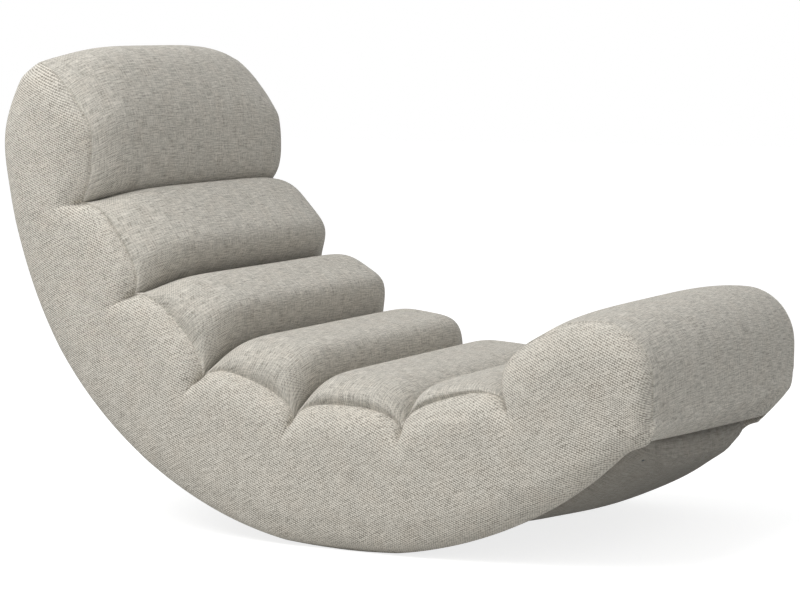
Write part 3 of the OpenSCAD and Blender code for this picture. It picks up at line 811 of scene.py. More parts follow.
    def ramp(self, start: Array) -> Array:
        """Return the leg roll's side path from the knee crease to its front.

        Args:
            start: Where the path leaves the crease.

        Returns:
            Dense points; the stretch up to the roll's top swells towards the seat.
        """
        path = resample(np.vstack([start, OUT.leg_arc(np.linspace(0, 1, 120))]), 500)
        top = OUT.leg_arc(np.array([0.0]))[0]
        end = float(np.linalg.norm(top - start)) + self.ramp_reach
        t = np.clip(arc_length(path) / end, 0, 1)
        rise = self.ramp_bulge * (1 - (1 - t) ** 3) ** 0.5 * (np.cos(t * math.pi) + 1) / 2 * 1.6
        away = -left(unit(np.gradient(path, axis=0)))
        away *= np.sign((away * (path - OUT.leg_c)).sum(1))[:, None]
        return path + away * rise[:, None]

    def leg(self) -> SkinGrid:
        """Return the grid of the roll at the leg end, from the knee crease to its chin."""
        c0, nrm = OUT.creases[0], OUT.inward(0)
        b = np.concatenate([np.linspace(-90, OUT.chin_a, 40),
                            np.linspace(OUT.chin_a, OUT.fold_a, 10)[1:]])
        chin = OUT.outer(b, -OUT.hang(b))
        side = resample(np.vstack([self.ramp(c0 - nrm * 2.0), chin]), 400)
        out = left(unit(np.gradient(side, axis=0)))
        if out[200] @ (OUT.leg_c - side[200]) > 0:
            out = -out
        s = arc_length(side)
        fade = np.clip(np.minimum(s / 60, (s[-1] - s) / 45), 0, 1)
        fade = np.sin(fade * math.pi / 2)[:, None]
        mid = side + out * fade * self.leg_crown
        seam = side + out * fade * self.leg_seam
        cols, foam = self.leg_cols, self.leg_foam
        arc = OUT.leg_arc(np.linspace(0, 1, 90), foam)
        inner = np.vstack([c0 + nrm * foam, arc, [arc[-1][0], chin[-1][1] + OUT.lip]])
        mid, seam, inner = resample(mid, cols), resample(seam, cols), resample(inner, cols)
        self.leg_seam_path = seam
        xs, xb, u = self.across()
        skin = sheet(xs, seam + (mid - seam) * (1 - u**self.leg_power)[:, None, None])
        out_grid = self.grid("leg_roll", skin, sheet(xb, inner), cols // 2)
        out_grid.cap = self.leg_cap
        return out_grid

    def head(self) -> SkinGrid:
        """Return the grid of the head roll, from the shoulder crease over the top.

        Its seam leaves the face half-way up and sweeps over to the back, so the two top
        corners are cut round; the near corner is the fuller one.
        """
        f, c = OUT.facets[6], OUT.creases
        p, q = c[5] + f * self.gap, c[6]
        end = OUT.head_from + 0.3
        face = OUT.bulge(p, q, OUT.seam_rise, np.linspace(0, 1, 160))
        low = face[: int(len(face) * self.head_turn)]
        meet = OUT.outer(np.linspace(self.head_meet, end, 40))
        sweep = self.swept(low, meet)
        seam = resample(np.vstack([low, sweep, meet]), 500)
        t = np.linspace(0, 1, 240)
        full, over = OUT.seam_rise + self.head_crown, self.head_over
        front = full * np.sqrt(np.maximum(0, 1 - np.abs(1 - 2 * t) ** self.head_shape))
        h = np.where(t <= 0.5, front, over + (full - over) * np.cos(math.pi * (t - 0.5)))
        face_m = p + (q - p) * t[:, None] + left(f) * h[:, None]
        b = np.linspace(OUT.top_angle, end, 160)[1:]
        fade = np.sin(np.clip((b - OUT.head_from) / 30, 0, 1) * math.pi / 2)[:, None]
        mid = resample(np.vstack([face_m, OUT.outer(b) + down(b) * over * fade]), 500)
        mid = soften(mid, self.head_mid_spread, arc_length(face)[-1], 90.0)
        inner = np.vstack([p + (q - f * OUT.deck_stop - p) * np.linspace(0, 1, 40)[:, None],
                           OUT.outer(np.linspace(166, end, 60), self.head_foam)])
        first, cols = self.head_first, self.head_cols
        top = arc_length(face_m)[-1]
        turned = arc_length(np.vstack([low, sweep[: len(sweep) // 2]]))[-1]
        mid = resample_about(mid, top, first, cols)
        seam = resample_about(seam, turned, first, cols)
        inner = resample_about(inner, arc_length(inner[:40])[-1], first, cols)
        xs, xb, u = self.across()
        soft = 1 / (1 + np.exp(-(arc_length(mid) - top + self.corner_from) / self.corner_blend))
        corner = self.head_corner + self.corner_near * (xs[:, None] < 0)
        power = self.head_power + (corner - self.head_power) * soft[None]
        rise = (1 - u[:, None] ** power)[:, :, None]
        under = seam + unit(inner - mid) * self.head_rest
        back = sheet(xb, under + (inner - under) * rise**1.3)
        out_grid = self.grid("head_roll", sheet(xs, seam + (mid - seam) * rise), back, 40)
        out_grid.cap = self.head_cap
        self.head_seam, self.head_tip = seam, meet[0]
        return out_grid

    def swept(self, low: Array, meet: Array) -> Array:
        """Return the curve that carries the head's seam over its corner.

        Args:
            low: The seam up the face, which the curve leaves.
            meet: The seam down the back, which it joins.

        Returns:
            The points between the two.
        """
        way, leave = unit(low[-1] - low[-2]), unit(meet[1] - meet[0])
        span = float(np.linalg.norm(meet[0] - low[-1])) * self.head_sweep
        k = np.linspace(0, 1, 80)[1:-1, None]
        return ((1 - k) ** 3 * low[-1] + 3 * (1 - k) ** 2 * k * (low[-1] + way * span)
                + 3 * (1 - k) * k**2 * (meet[0] - leave * span) + k**3 * meet[0])

    def deck(self, name: str, first: int, last: int) -> SkinGrid:
        """Return the grid of one foam deck under the rolls.

        Args:
            name: The piece's node.
            first: Crease at which the deck begins.
            last: Crease at which it ends, 6 for the end under the head roll.

        Returns:
            The grid; the end under the head roll has its corners cut round.
        """
        knots = range(first, last + 1)
        top = resample(np.array([OUT.deck_point(j, 0.0) for j in knots]), 60)
        low = resample(np.array([OUT.deck_point(j, OUT.deck_foam) for j in knots]), 60)
        s = arc_length(top)
        near = np.clip(1 - (s[-1] - s) / self.deck_round, 0, 1) * (last == 6)
        wide = OUT.half_w - self.deck_cut * near**2
        xs = end_steps(1.0, 0.01, 0.06)[:, None] * wide[None]
        skin, back = (np.concatenate([xs[:, :, None], np.broadcast_to(yz, (*xs.shape, 2))], axis=2)
                      for yz in (top, low))
        weave = np.stack([xs, np.broadcast_to(s, xs.shape)], axis=2)
        return SkinGrid(name, skin, back, weave, np.full(xs.shape, NO_SEAM),
                        np.ones(xs.shape, bool), Slot.FOAM, cap=1.0)

    def decks(self) -> list[SkinGrid]:
        """Return the grids of the seat's and the back's foam decks."""
        return [self.deck("seat_deck", 0, 3), self.deck("back_deck", 3, 6)]

    def grids(self) -> list[SkinGrid]:
        """Return the grids of all seven rolls."""
        return [self.leg()] + [self.roll(j) for j in range(5)] + [self.head()]


@dataclass
class SidePads:
    """The two padded side panels, from the leg roll round to the head.

    puffs say how far the cloth bulges past the rocking edge at the angles of puff_at, and
    puff_left how much fuller the left pad is near the chin.
    """

    x_rib: float = 313.0
    x_seam: float = SEAM_SPAN / 2
    swell: float = 28.0
    round_edge: float = 37.5
    round_seam: float = 52.0
    puff_at: tuple[float, ...] = (
        -90.0, -50.0, -43.0, -36.0, -20.0, 20.0, 40.0, 56.0, 70.0, 85.0, 100.0, 118.0, 150.0)
    puffs: tuple[float, ...] = (
        0.0, 0.0, 9.0, 8.0, 0.0, 12.3, 12.9, 12.2, 2.7, 0.5, 18.0, 7.6, 0.0)
    puff_left: float = 6.0
    puff_band: tuple[float, float] = (16.0, 26.0)
    cols: int = 46
    end_reach: float = 55.0
    held_span: float = 70.0
    cap: float = 4.0
    even: float = 8.0
    thick_even: float = 7.0
    pad_edge: float = 5.0
    end_angle: float = 140.5
    slit_depth: float = 15.0
    slit_width: float = 3.4
    slit_length: float = 18.0
    dip: float = 5.0
    dip_size: tuple[float, float] = (16.0, 34.0)

    def rails(self, rolls: Rolls) -> tuple[Array, Array, Array]:
        """Return matching points of the rocking edge and of the seam.

        Args:
            rolls: The rolls, whose head seam the pad follows.

        Returns:
            Edge points, seam points and the edge's angles, from the leg's front to the head.
        """
        front = rolls.leg_seam_path
        tip = np.array([OUT.fold_a - OUT.slip_lead])
        corner = OUT.outer(tip, -OUT.hang(tip))[0]
        n = int(np.argmin(np.linalg.norm(front - corner, axis=1))) - 1
        seam = [front[: n + 1][::-1][:-1]]
        share = np.linspace(0, 1, n + 1)[:-1] ** 1.15
        edge_b = list(OUT.fold_a + (OUT.knee_angle - OUT.fold_a) * share)
        angles = OUT.crease_angles
        k = stations(rolls.cols, rolls.ends)
        for j in range(5):
            pts = OUT.arch(j, (1 - np.cos(np.linspace(0, math.pi, 240))) / 2)
            seam.append(resample(pts, rolls.cols, rolls.ends)[:-1])
            edge_b += list(angles[j] + (angles[j + 1] - angles[j]) * k[:-1])
        head = rolls.head_seam
        m = int(np.argmin(np.linalg.norm(head - rolls.head_tip, axis=1))) - 2
        seam.append(head[: m + 1])
        knots = (angles[5], OUT.head_from - 5, self.end_angle)
        edge_b += list(np.interp(np.linspace(0, 1, m + 1), (0.0, 0.45, 1.0), knots))
        b = np.array(edge_b)
        edge = OUT.outer(b, -np.where(b >= OUT.fold_a - 0.01, OUT.hang(b), 0.0))
        return edge, np.vstack(seam), b

    def slits(self, flat: Array) -> Array:
        """Return how far the cloth is drawn in where each crease ends on the pad.

        Args:
            flat: Points of the pad in the side plane.

        Returns:
            Depths: a narrow slit that runs on from the crease, in a shallow dip.
        """
        out = np.zeros(flat.shape[:2])
        for crease, angle in zip(OUT.creases[:6], OUT.crease_angles):
            way = unit(OUT.outer(angle)[0] - crease)
            v = flat - crease
            on, off = v @ way, v @ left(way)
            fade = np.clip(1 - on / self.slit_length, 0, 1)
            out += self.slit_depth * np.exp(-((off / self.slit_width) ** 2)) * fade * (2 - fade)
            wide, long = self.dip_size
            out += self.dip * np.exp(-((off / wide) ** 2) - (on / long) ** 2)
        return out

    def thickness(self, d: Array, e: Array, end: Array) -> Array:
        """Return how far the cloth stands off the middle of the chair.

        Args:
            d: Distances of the grid's points from the rocking edge.
            e: Their distances from the seam.
            end: 0 at the pad's two ends, 1 away from them.

        Returns:
            The x of every point, full in the middle and drawn in at the seam.
        """
        full = self.pad_edge + self.swell
        base, step = self.pad_edge * 0.6, self.x_seam - self.x_rib
        low = np.sqrt(np.maximum(0, 1 - (1 - np.minimum(d / self.round_edge, 1)) ** 2))
        high = 1 - (1 - np.minimum(e / self.round_seam, 1)) ** 2.2
        off = np.minimum(base + (full - base) * low, step + (full - step) * high)
        x = self.x_rib + off * end + step * (1 - end)
        return evened(x, self.thick_even, np.clip(e / 45, 0, 1))

    def grid(self, rolls: Rolls, sign: int) -> SkinGrid:
        """Return the grid of one pad.

        Args:
            rolls: The rolls that it is sewn to.
            sign: 1 for the left pad, -1 for the right one.

        Returns:
            The grid, rows along the body and columns from the rocking edge to the seam.
        """
        edge, seam, b = self.rails(rolls)
        n = len(edge)
        span = np.linalg.norm(seam - edge, axis=1)
        t = stations(self.cols, 0.55)
        d = span[:, None] * t[None]
        along = arc_length((edge + seam) / 2)
        end = np.clip(np.minimum(along, along[-1] - along) / self.end_reach, 0, 1)
        end = (1 - (1 - end) ** 2)[:, None]
        flat = edge[:, None] + (seam - edge)[:, None] * t[None, :, None]
        x = self.thickness(d, span[:, None] - d, end)
        x = np.maximum(x - self.slits(flat), self.x_rib + 1.2)
        chin = self.puff_left * (sign > 0) * np.exp(-(((b + 41) / 5) ** 2))
        room = OUT.over_floor(b, smooth_table(self.puff_at, self.puffs, b) + chin)
        bump = np.exp(-(((d - self.puff_band[0]) / self.puff_band[1]) ** 2))
        yz = flat + down(b)[:, None] * (room[:, None] * bump * end)[:, :, None]
        skin = np.concatenate([x[:, :, None] * sign, yz], axis=2)
        back = np.concatenate([np.full((n, self.cols, 1), self.x_rib * sign), flat], axis=2)
        run, flat_run = running(skin, 1), running(flat, 1)
        mid = self.cols // 2
        extra = (run - run[:, mid : mid + 1]) - (flat_run - flat_run[:, mid : mid + 1])
        way = unit(seam - edge)[:, None]
        weave = flat + way * (extra * end * np.clip(span[:, None] / 120, 0, 1))[:, :, None]
        weave = np.stack([-weave[:, :, 0], weave[:, :, 1]], axis=2)
        upper = np.arange(n)[:, None] > n // 2
        rim = np.minimum(run[:, -1:] - run, along[:, None]) + NO_SEAM * (1 - end) * upper
        held = sewn_round(skin.shape)
        held[(span < self.held_span) | (end[:, 0] < 0.98)] = True
        name = "side_pad_left" if sign > 0 else "side_pad_right"
        return SkinGrid(name, skin, back, weave, rim, held, Slot.SIDE,
                        cap=self.cap, even=self.even)


@dataclass
class Underside:
    """The padded underside panel, the two rocking edges and the tuck under the leg roll.

    crowns are the panel's heights over its edges at the angles of crown_at. fold_* are the
    grooves in the panel just below the tuck, pleat* the folds of the tuck itself.
    """

    inner_w: float = 293.0
    crown_at: tuple[float, ...] = (-48.0, -41.0, -33.0, -24.0, 0.0, 25.0, 120.0)
    crowns: tuple[float, ...] = (56.0, 41.3, 41.5, 3.0, 4.0, 24.0, 24.0)
    tuck_fade: float = 18.6
    edge_sink: float = 9.0
    fold_pitch: float = 7.5
    fold_depth: float = 4.5
    fold_reach: float = 23.0
    top_past: float = 2.5
    pleats: float = 3.0
    pleat_depth: float = 6.0
    inset: float = 8.0
    base: float = 3.0
    edge_x: tuple[float, float] = (292.2, 313.4)
    edge_round: float = 7.0
    edge_most: float = 7.2
    edge_back: float = 7.8
    tuck_back: float = 7.5

    def panel(self) -> SkinGrid:
        """Return the grid of the padded panel between the rocking edges."""
        fine = OUT.tuck_a + 3
        b = np.concatenate([np.linspace(OUT.tuck_a, fine, 30),
                            np.linspace(fine, OUT.back_from, 108)[1:],
                            np.linspace(OUT.back_from, OUT.head_from + self.top_past, 35)[1:]])
        s = arc_length(OUT.outer(b))
        xs = end_steps(self.inner_w, 2.5, 9.0)
        u = np.abs(xs / self.inner_w)[:, None]
        room = OUT.over_floor(b, smooth_table(self.crown_at, self.crowns, b, 2.0))
        ends = np.minimum(1, s / self.tuck_fade) ** 0.55 * np.minimum(1, (s[-1] - s) / 90) ** 0.6
        height = (self.base + np.maximum(0, room - self.base)) * ends
        out = -self.inset + 1.5 + height[None] * np.sqrt(np.maximum(0, 1 - u**2.6))
        wander = np.sin(xs / 70)[:, None] * 1.1 + np.sin(xs / 27)[:, None] * 0.6
        crest = np.abs(np.sin(math.pi * (s[None] + wander) / self.fold_pitch)) ** 0.6
        fade = np.exp(-((s / self.fold_reach) ** 2)) * np.minimum(1, s / 3)
        out -= self.fold_depth * (1 - crest) * fade[None]
        skin = sheet(xs, np.stack([OUT.outer(b, -o) for o in out]))
        back = sheet(xs, OUT.outer(b, self.inset - 0.3))
        rim = np.minimum(self.inner_w - np.abs(xs[:, None]), np.minimum(s, s[-1] - s)[None])
        held = sewn_round(skin.shape)
        held[:, room < self.inset] = True
        # The panel's finish is the darker linen, painted shade.
        return SkinGrid("underside_cover", skin, back, woven(xs, s), rim, held, Slot.UNDER_PAINTED_SHADE,
                        cap=5.0)

    def edge(self, sign: int) -> SkinGrid:
        """Return the grid of the padded edge that the chair rocks on, under one rib.

        Args:
            sign: 1 for the left edge, -1 for the right one.

        Returns:
            The grid, rows across the edge and columns along it, no lower than the floor.
        """
        b = np.concatenate([np.linspace(OUT.tuck_a, OUT.back_from, 260),
                            np.linspace(OUT.back_from, OUT.head_from + self.top_past, 47)[1:]])
        a = np.linspace(0, 1, 9)
        x = self.edge_x[0] + (self.edge_x[1] - self.edge_x[0]) * a
        turn = np.sqrt(np.maximum(0, 1 - (1 - np.minimum(a / 0.66, 1)) ** 2))
        sink = self.edge_sink * np.clip((-22 - b) / 8, 0, 1)
        yz = np.stack([OUT.outer(b, np.minimum(f + sink, self.edge_most))
                       for f in self.edge_round * (1 - turn)])
        yz[:, :, 1] = np.maximum(yz[:, :, 1], 0.0)
        name = "rocking_edge_left" if sign > 0 else "rocking_edge_right"
        skin, back = sheet(x * sign, yz), sheet(x * sign, OUT.outer(b, self.edge_back))
        return self.strip(name, skin, back, woven(x, arc_length(OUT.outer(b))), Slot.SIDE)

    def strip(self, name: str, skin: Array, back: Array, weave: Array, slot: Slot) -> SkinGrid:
        """Return the grid of a strip that the swelling leaves as it is.

        Args:
            name: The piece's node.
            skin: Points of the cloth that shows.
            back: Points of the side it rests on.
            weave: The cloth's own coordinates.
            slot: Its finish.

        Returns:
            The grid, all its points held.
        """
        shape = skin.shape[:2]
        return SkinGrid(name, skin, back, weave, np.full(shape, NO_SEAM), np.ones(shape, bool),
                        slot, cap=1.0)

    def tuck(self) -> SkinGrid:
        """Return the grid of the cloth folded in under the leg roll."""
        b = np.linspace(OUT.fold_a - 0.5, OUT.tuck_a + 0.35, 64)
        t = np.linspace(0, 1, len(b))
        xs = end_steps(OUT.half_w + 0.4, 3.0, 9.0)
        wave = np.sin(xs / 61)[:, None] * 0.05 + np.sin(xs / 23)[:, None] * 0.03
        run = (self.pleats * t[None] + wave + 0.15) % 1.0
        pleat = np.clip(run / 0.86, 0, 1) ** 1.6 * np.clip((1 - run) / 0.14, 0, 1)
        inset = OUT.tuck_inset(t)[None] + self.pleat_depth * pleat
        skin = sheet(xs, np.stack([OUT.outer(b, i) for i in inset]))
        back, weave = sheet(xs, OUT.outer(b, self.tuck_back)), woven(xs, t * (OUT.fold_w + 10))
        # The tuck's finish is the darker linen, painted shade.
        return self.strip("chin_tuck", skin, back, weave, Slot.UNDER_PAINTED_SHADE)

    def grids(self) -> list[SkinGrid]:
        """Return the grids of the underside's pieces."""
        return [self.panel(), self.edge(1), self.edge(-1), self.tuck()]


class Graph:
    """A shader tree that is written line by line."""

    def __init__(self, name: str) -> None:
        """Start an empty material."""
        self.mat = bpy.data.materials.new(name)
        self.mat.use_nodes = True
        self.tree = self.mat.node_tree
        self.tree.nodes.clear()
        self.out = self.tree.nodes.new("ShaderNodeOutputMaterial")
        self.x = 0

    def node(self, kind: str, **values: object) -> bpy.types.Node:
        """Add a node and set its properties."""
        n = self.tree.nodes.new("ShaderNode" + kind)
        self.x += 40
        n.location = (self.x, 0)
        for key, value in values.items():
            setattr(n, key, value)
        return n

    def link(self, source: bpy.types.NodeSocket, target: bpy.types.NodeSocket) -> None:
        """Join two sockets."""
        self.tree.links.new(source, target)

    def math(self, op: str, a: object, b: object = None, c: object = None) -> bpy.types.NodeSocket:
        """Add a Math node from sockets or numbers and return its result."""
        n = self.node("Math", operation=op)
        for i, v in enumerate((a, b, c)):
            if v is not None:
                self.put(v, n.inputs[i])
        return n.outputs[0]

    def noise(
        self, vector: bpy.types.NodeSocket, scale: float, detail: float = 2.0, rough: float = 0.5
    ) -> bpy.types.NodeSocket:
        """Add a noise texture.

        Args:
            vector: Where the pattern is read.
            scale: Its fineness.
            detail: How many finer layers it has.
            rough: How strong those are.

        Returns:
            The value, about 0 to 1.
        """
        n = self.node("TexNoise")
        n.inputs["Scale"].default_value = scale
        n.inputs["Detail"].default_value = detail
        n.inputs["Roughness"].default_value = rough
        self.link(vector, n.inputs["Vector"])
        return n.outputs[0]

    def put(self, v: object, socket: bpy.types.NodeSocket) -> None:
        """Give a socket a number, a colour or another node's output."""
        if isinstance(v, (int, float)):
            socket.default_value = v
        elif isinstance(v, tuple):
            socket.default_value = (*v, 1.0)
        else:
            self.link(v, socket)

    def clamp(self, v: bpy.types.NodeSocket) -> bpy.types.NodeSocket:
        """Add a Clamp node from 0 to 1 and return its result."""
        n = self.node("Clamp")
        self.link(v, n.inputs[0])
        return n.outputs[0]

    def stretch(
        self, vector: bpy.types.NodeSocket, scale: tuple[float, float, float]
    ) -> bpy.types.NodeSocket:
        """Add a Mapping node that scales a vector and return its result."""
        n = self.node("Mapping")
        n.inputs["Scale"].default_value = scale
        self.link(vector, n.inputs["Vector"])
        return n.outputs[0]

    def centred(self, v: bpy.types.NodeSocket, size: float) -> bpy.types.NodeSocket:
        """Return a 0 to 1 value shifted to swing round zero, times a size."""
        return self.math("MULTIPLY", self.math("SUBTRACT", v, 0.5), size)

    def place(self) -> bpy.types.NodeSocket:
        """Add a Texture Coordinate node and return its Object output."""
        return self.node("TexCoord").outputs["Object"]

    def mix(
        self, factor: object, a: object, b: object, blend: str = "MIX"
    ) -> bpy.types.NodeSocket:
        """Add a colour mix and return its result."""
        n = self.node("Mix", data_type="RGBA", blend_type=blend)
        for v, socket in ((factor, n.inputs[0]), (a, n.inputs[6]), (b, n.inputs[7])):
            self.put(v, socket)
        return n.outputs[2]

    def surface(
        self, colour: object, rough: object, bump: bpy.types.NodeSocket, depth: float,
        **fixed: float,
    ) -> bpy.types.Material:
        """Finish the material with a principled surface.

        Args:
            colour: Base colour, as a colour or a socket.
            rough: Roughness, as a number or a socket.
            bump: Height of the relief.
            depth: Size of the relief in metres.
            **fixed: Other inputs by name, with _ for a space.

        Returns:
            The material.
        """
        n = self.node("BsdfPrincipled")
        self.put(colour, n.inputs["Base Color"])
        self.put(rough, n.inputs["Roughness"])
        for key, v in fixed.items():
            n.inputs[key.replace("_", " ")].default_value = v
        b = self.node("Bump")
        b.inputs["Strength"].default_value = 1.0
        b.inputs["Distance"].default_value = depth
        self.link(bump, b.inputs["Height"])
        self.link(b.outputs[0], n.inputs["Normal"])
        self.link(n.outputs[0], self.out.inputs["Surface"])
        return self.mat


@dataclass(frozen=True)
class WovenCloth:
    """Greige linen-look upholstery cloth in a plain weave with slubs.

    turn is the weave's angle on the piece in degrees, pitch the threads' spacing in mm.
    """

    name: str
    turn: float
    light: tuple[float, float, float]
    dark: tuple[float, float, float]
    pitch: tuple[float, float]
    contrast: float
    slub: float
    grain: float
    twill: float = 0.0

    def material(self) -> bpy.types.Material:
        """Build the weave from the cloth's own coordinates."""
        g = Graph(self.name)
        att = g.node("Attribute", attribute_name="weave")
        rot = g.node("VectorRotate", rotation_type="Z_AXIS")
        rot.inputs["Angle"].default_value = math.radians(self.turn)
        g.link(att.outputs["Vector"], rot.inputs["Vector"])
        base = rot.outputs[0]
        drift = g.node("TexNoise")
        drift.inputs["Scale"].default_value = 55.0
        drift.inputs["Detail"].default_value = 2.0
        g.link(base, drift.inputs["Vector"])
        off = g.node("VectorMath", operation="MULTIPLY_ADD")
        g.link(drift.outputs["Color"], off.inputs[0])
        off.inputs[1].default_value = (0.0016, 0.0016, 0.0)
        g.link(base, off.inputs[2])
        sep = g.node("SeparateXYZ")
        g.link(off.outputs[0], sep.inputs[0])
        u = g.math("MULTIPLY", sep.outputs[0], math.pi / (self.pitch[0] * MM))
        v = g.math("MULTIPLY", sep.outputs[1], math.pi / (self.pitch[1] * MM))
        su, sv = g.math("SINE", u), g.math("SINE", v)
        near = g.node("Attribute", attribute_name="rim")
        calm = g.clamp(g.math("MULTIPLY_ADD", near.outputs["Fac"], 18.0, 0.35))
        check = g.math("MULTIPLY", g.math("MULTIPLY", su, sv), calm)
        relief = g.math("MULTIPLY", g.math("ABSOLUTE", su), g.math("ABSOLUTE", sv))
        ridge = g.math("MULTIPLY", g.math("COSINE", g.math("ADD", u, v)), calm)
        slub_w = g.noise(g.stretch(base, (34.0, 560.0, 1.0)), 1.0, 2.0, 0.6)
        slub_v = g.noise(g.stretch(base, (560.0, 40.0, 1.0)), 1.0, 2.0, 0.6)
        tone = g.math("MULTIPLY_ADD", check, self.contrast, 0.62)
        tone = g.math("MULTIPLY_ADD", ridge, -self.twill, tone)
        tone = g.math("MULTIPLY_ADD", relief, 0.3, g.math("SUBTRACT", tone, 0.12))
        speck, patch = g.noise(base, 260.0, 1.0, 0.5), g.noise(base, 14.0, 3.0, 0.55)
        for value, size in ((slub_w, self.slub * 1.5), (slub_v, self.slub), (speck, self.grain),
                            (patch, 0.25)):
            tone = g.math("ADD", tone, g.centred(value, size))
        colour = g.mix(g.clamp(tone), self.dark, self.light)
        tint = g.noise(base, 23.0, 2.0, 0.5)
        warm = g.clamp(g.math("MULTIPLY", g.math("SUBTRACT", tint, 0.42), 1.2))
        colour = g.mix(warm, colour, (1.03, 0.985, 0.955), "MULTIPLY")
        height = g.math("MULTIPLY_ADD", relief, 0.8, g.math("MULTIPLY", slub_w, 0.5))
        return g.surface(colour, 0.92, height, 0.0005, Sheen_Weight=0.12, Sheen_Roughness=0.6,
                         Specular_IOR_Level=0.2)


@dataclass(frozen=True)
class Timber:
    """Bare wood with its grain along one axis."""

    name: str
    light: tuple[float, float, float]
    dark: tuple[float, float, float]
    stretch: tuple[float, float, float]

    def material(self) -> bpy.types.Material:
        """Build the grain from object coordinates."""
        g = Graph(self.name)
        along = g.stretch(g.place(), self.stretch)
        grain, fine = g.noise(along, 1.0, 6.0, 0.62), g.noise(along, 5.0, 3.0, 0.5)
        f = g.math("MULTIPLY_ADD", fine, 0.35, g.math("MULTIPLY", grain, 0.75))
        colour = g.mix(f, self.dark, self.light)
        return g.surface(colour, g.math("MULTIPLY_ADD", grain, 0.2, 0.5), f, 0.0004)


@dataclass(frozen=True)
class Metal:
    """Primed or plated steel with fine scatter in its gloss."""

    name: str
    colour: tuple[float, float, float]
    metallic: float
    rough: float

    def material(self) -> bpy.types.Material:
        """Build the metal from object coordinates."""
        g = Graph(self.name)
        n = g.noise(g.place(), 90.0, 4.0, 0.6)
        rough = g.math("MULTIPLY_ADD", n, 0.25, self.rough)
        colour = g.mix(n, self.colour, tuple(min(1.0, c * 1.25) for c in self.colour))
        return g.surface(colour, rough, n, 0.0001, Metallic=self.metallic)


@dataclass(frozen=True)
class Foam:
    """Open-cell foam or elastic webbing: a fine cellular or ribbed surface."""

    name: str
    colour: tuple[float, float, float]
    scale: float

    def material(self) -> bpy.types.Material:
        """Build the cells from object coordinates."""
        g = Graph(self.name)
        cells = g.node("TexVoronoi")
        cells.inputs["Scale"].default_value = self.scale
        g.link(g.place(), cells.inputs["Vector"])
        f = g.math("MULTIPLY", cells.outputs["Distance"], 1.4)
        colour = g.mix(f, tuple(c * 0.7 for c in self.colour), self.colour)
        return g.surface(colour, 0.95, f, 0.001)


@dataclass
class Wardrobe:
    """Every finish of the chair, by slot."""

    finishes: dict[Slot, bpy.types.Material] = field(default_factory=dict)

    def fill(self) -> None:
        """Build the materials."""
        makers = {
            Slot.TOP: WovenCloth(
                "greige_linen_top", 0.0, (0.665, 0.63, 0.56), (0.25, 0.233, 0.2), (1.75, 1.75),
                contrast=0.5, slub=1.6, grain=0.9),
            Slot.SIDE: WovenCloth(
                "greige_linen_bias", -27.0, (0.695, 0.656, 0.582), (0.214, 0.197, 0.165),
                (2.45, 3.15), contrast=0.42, twill=0.24, slub=1.1, grain=1.1),
            # The same greige linen as the top at about half its brightness: painted shade on the
            # underside panel, the chin tuck and the tuck's stitches, which lie in the chair's
            # shadow.
            Slot.UNDER_PAINTED_SHADE: WovenCloth(
                "greige_linen_under_painted_shade", 0.0, (0.335, 0.313, 0.272), (0.147, 0.135, 0.114),
                (1.75, 1.75), contrast=0.5, slub=1.2, grain=0.5),
            Slot.PLY: Timber(
                "birch_ply", (0.62, 0.47, 0.31), (0.42, 0.29, 0.17), (60.0, 9.0, 60.0)),
            Slot.BOARD: Timber(
                "bent_ply", (0.55, 0.40, 0.25), (0.36, 0.24, 0.14), (9.0, 60.0, 60.0)),
            Slot.PINE: Timber(
                "planed_pine", (0.66, 0.49, 0.29), (0.50, 0.33, 0.17), (6.0, 50.0, 50.0)),
            Slot.STEEL: Metal("primed_steel", (0.05, 0.052, 0.055), 0.0, 0.5),
            Slot.ZINC: Metal("zinc_plate", (0.55, 0.56, 0.58), 1.0, 0.3),
            Slot.WEB: Foam("elastic_webbing", (0.05, 0.047, 0.04), 900.0),
            Slot.FOAM: Foam("pale_foam", (0.66, 0.60, 0.42), 500.0),
        }
        for key, maker in makers.items():
            self.finishes[key] = maker.material()

    def dress(self, obj: bpy.types.Object, slot: Slot) -> None:
        """Give an object its one material."""
        obj.data.materials.clear()
        obj.data.materials.append(self.finishes[slot])


@dataclass(frozen=True)
class HiddenFrame:
    """The wooden frame, ballast, webbing and foam under the cloth."""

    rules: tuple[tuple[str, Slot], ...] = (
        ("screws", Slot.ZINC), ("tacks", Slot.ZINC), ("bolts", Slot.ZINC), ("washers", Slot.ZINC),
        ("nuts", Slot.ZINC), ("plate", Slot.STEEL), ("rail", Slot.PINE), ("board", Slot.BOARD),
        ("skin", Slot.BOARD), ("webbing", Slot.WEB), ("deck", Slot.FOAM), ("rib", Slot.PLY))

    def slot_of(self, node: str) -> Slot:
        """Return the finish of a CAD node by the first rule that its name fits."""
        for text, slot in self.rules:
            if text in node:
                return slot
        return Slot.TOP

    def dress(self, wardrobe: Wardrobe) -> None:
        """Give every CAD node that stays its finish."""
        for name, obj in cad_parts.items():
            wardrobe.dress(obj, self.slot_of(name))


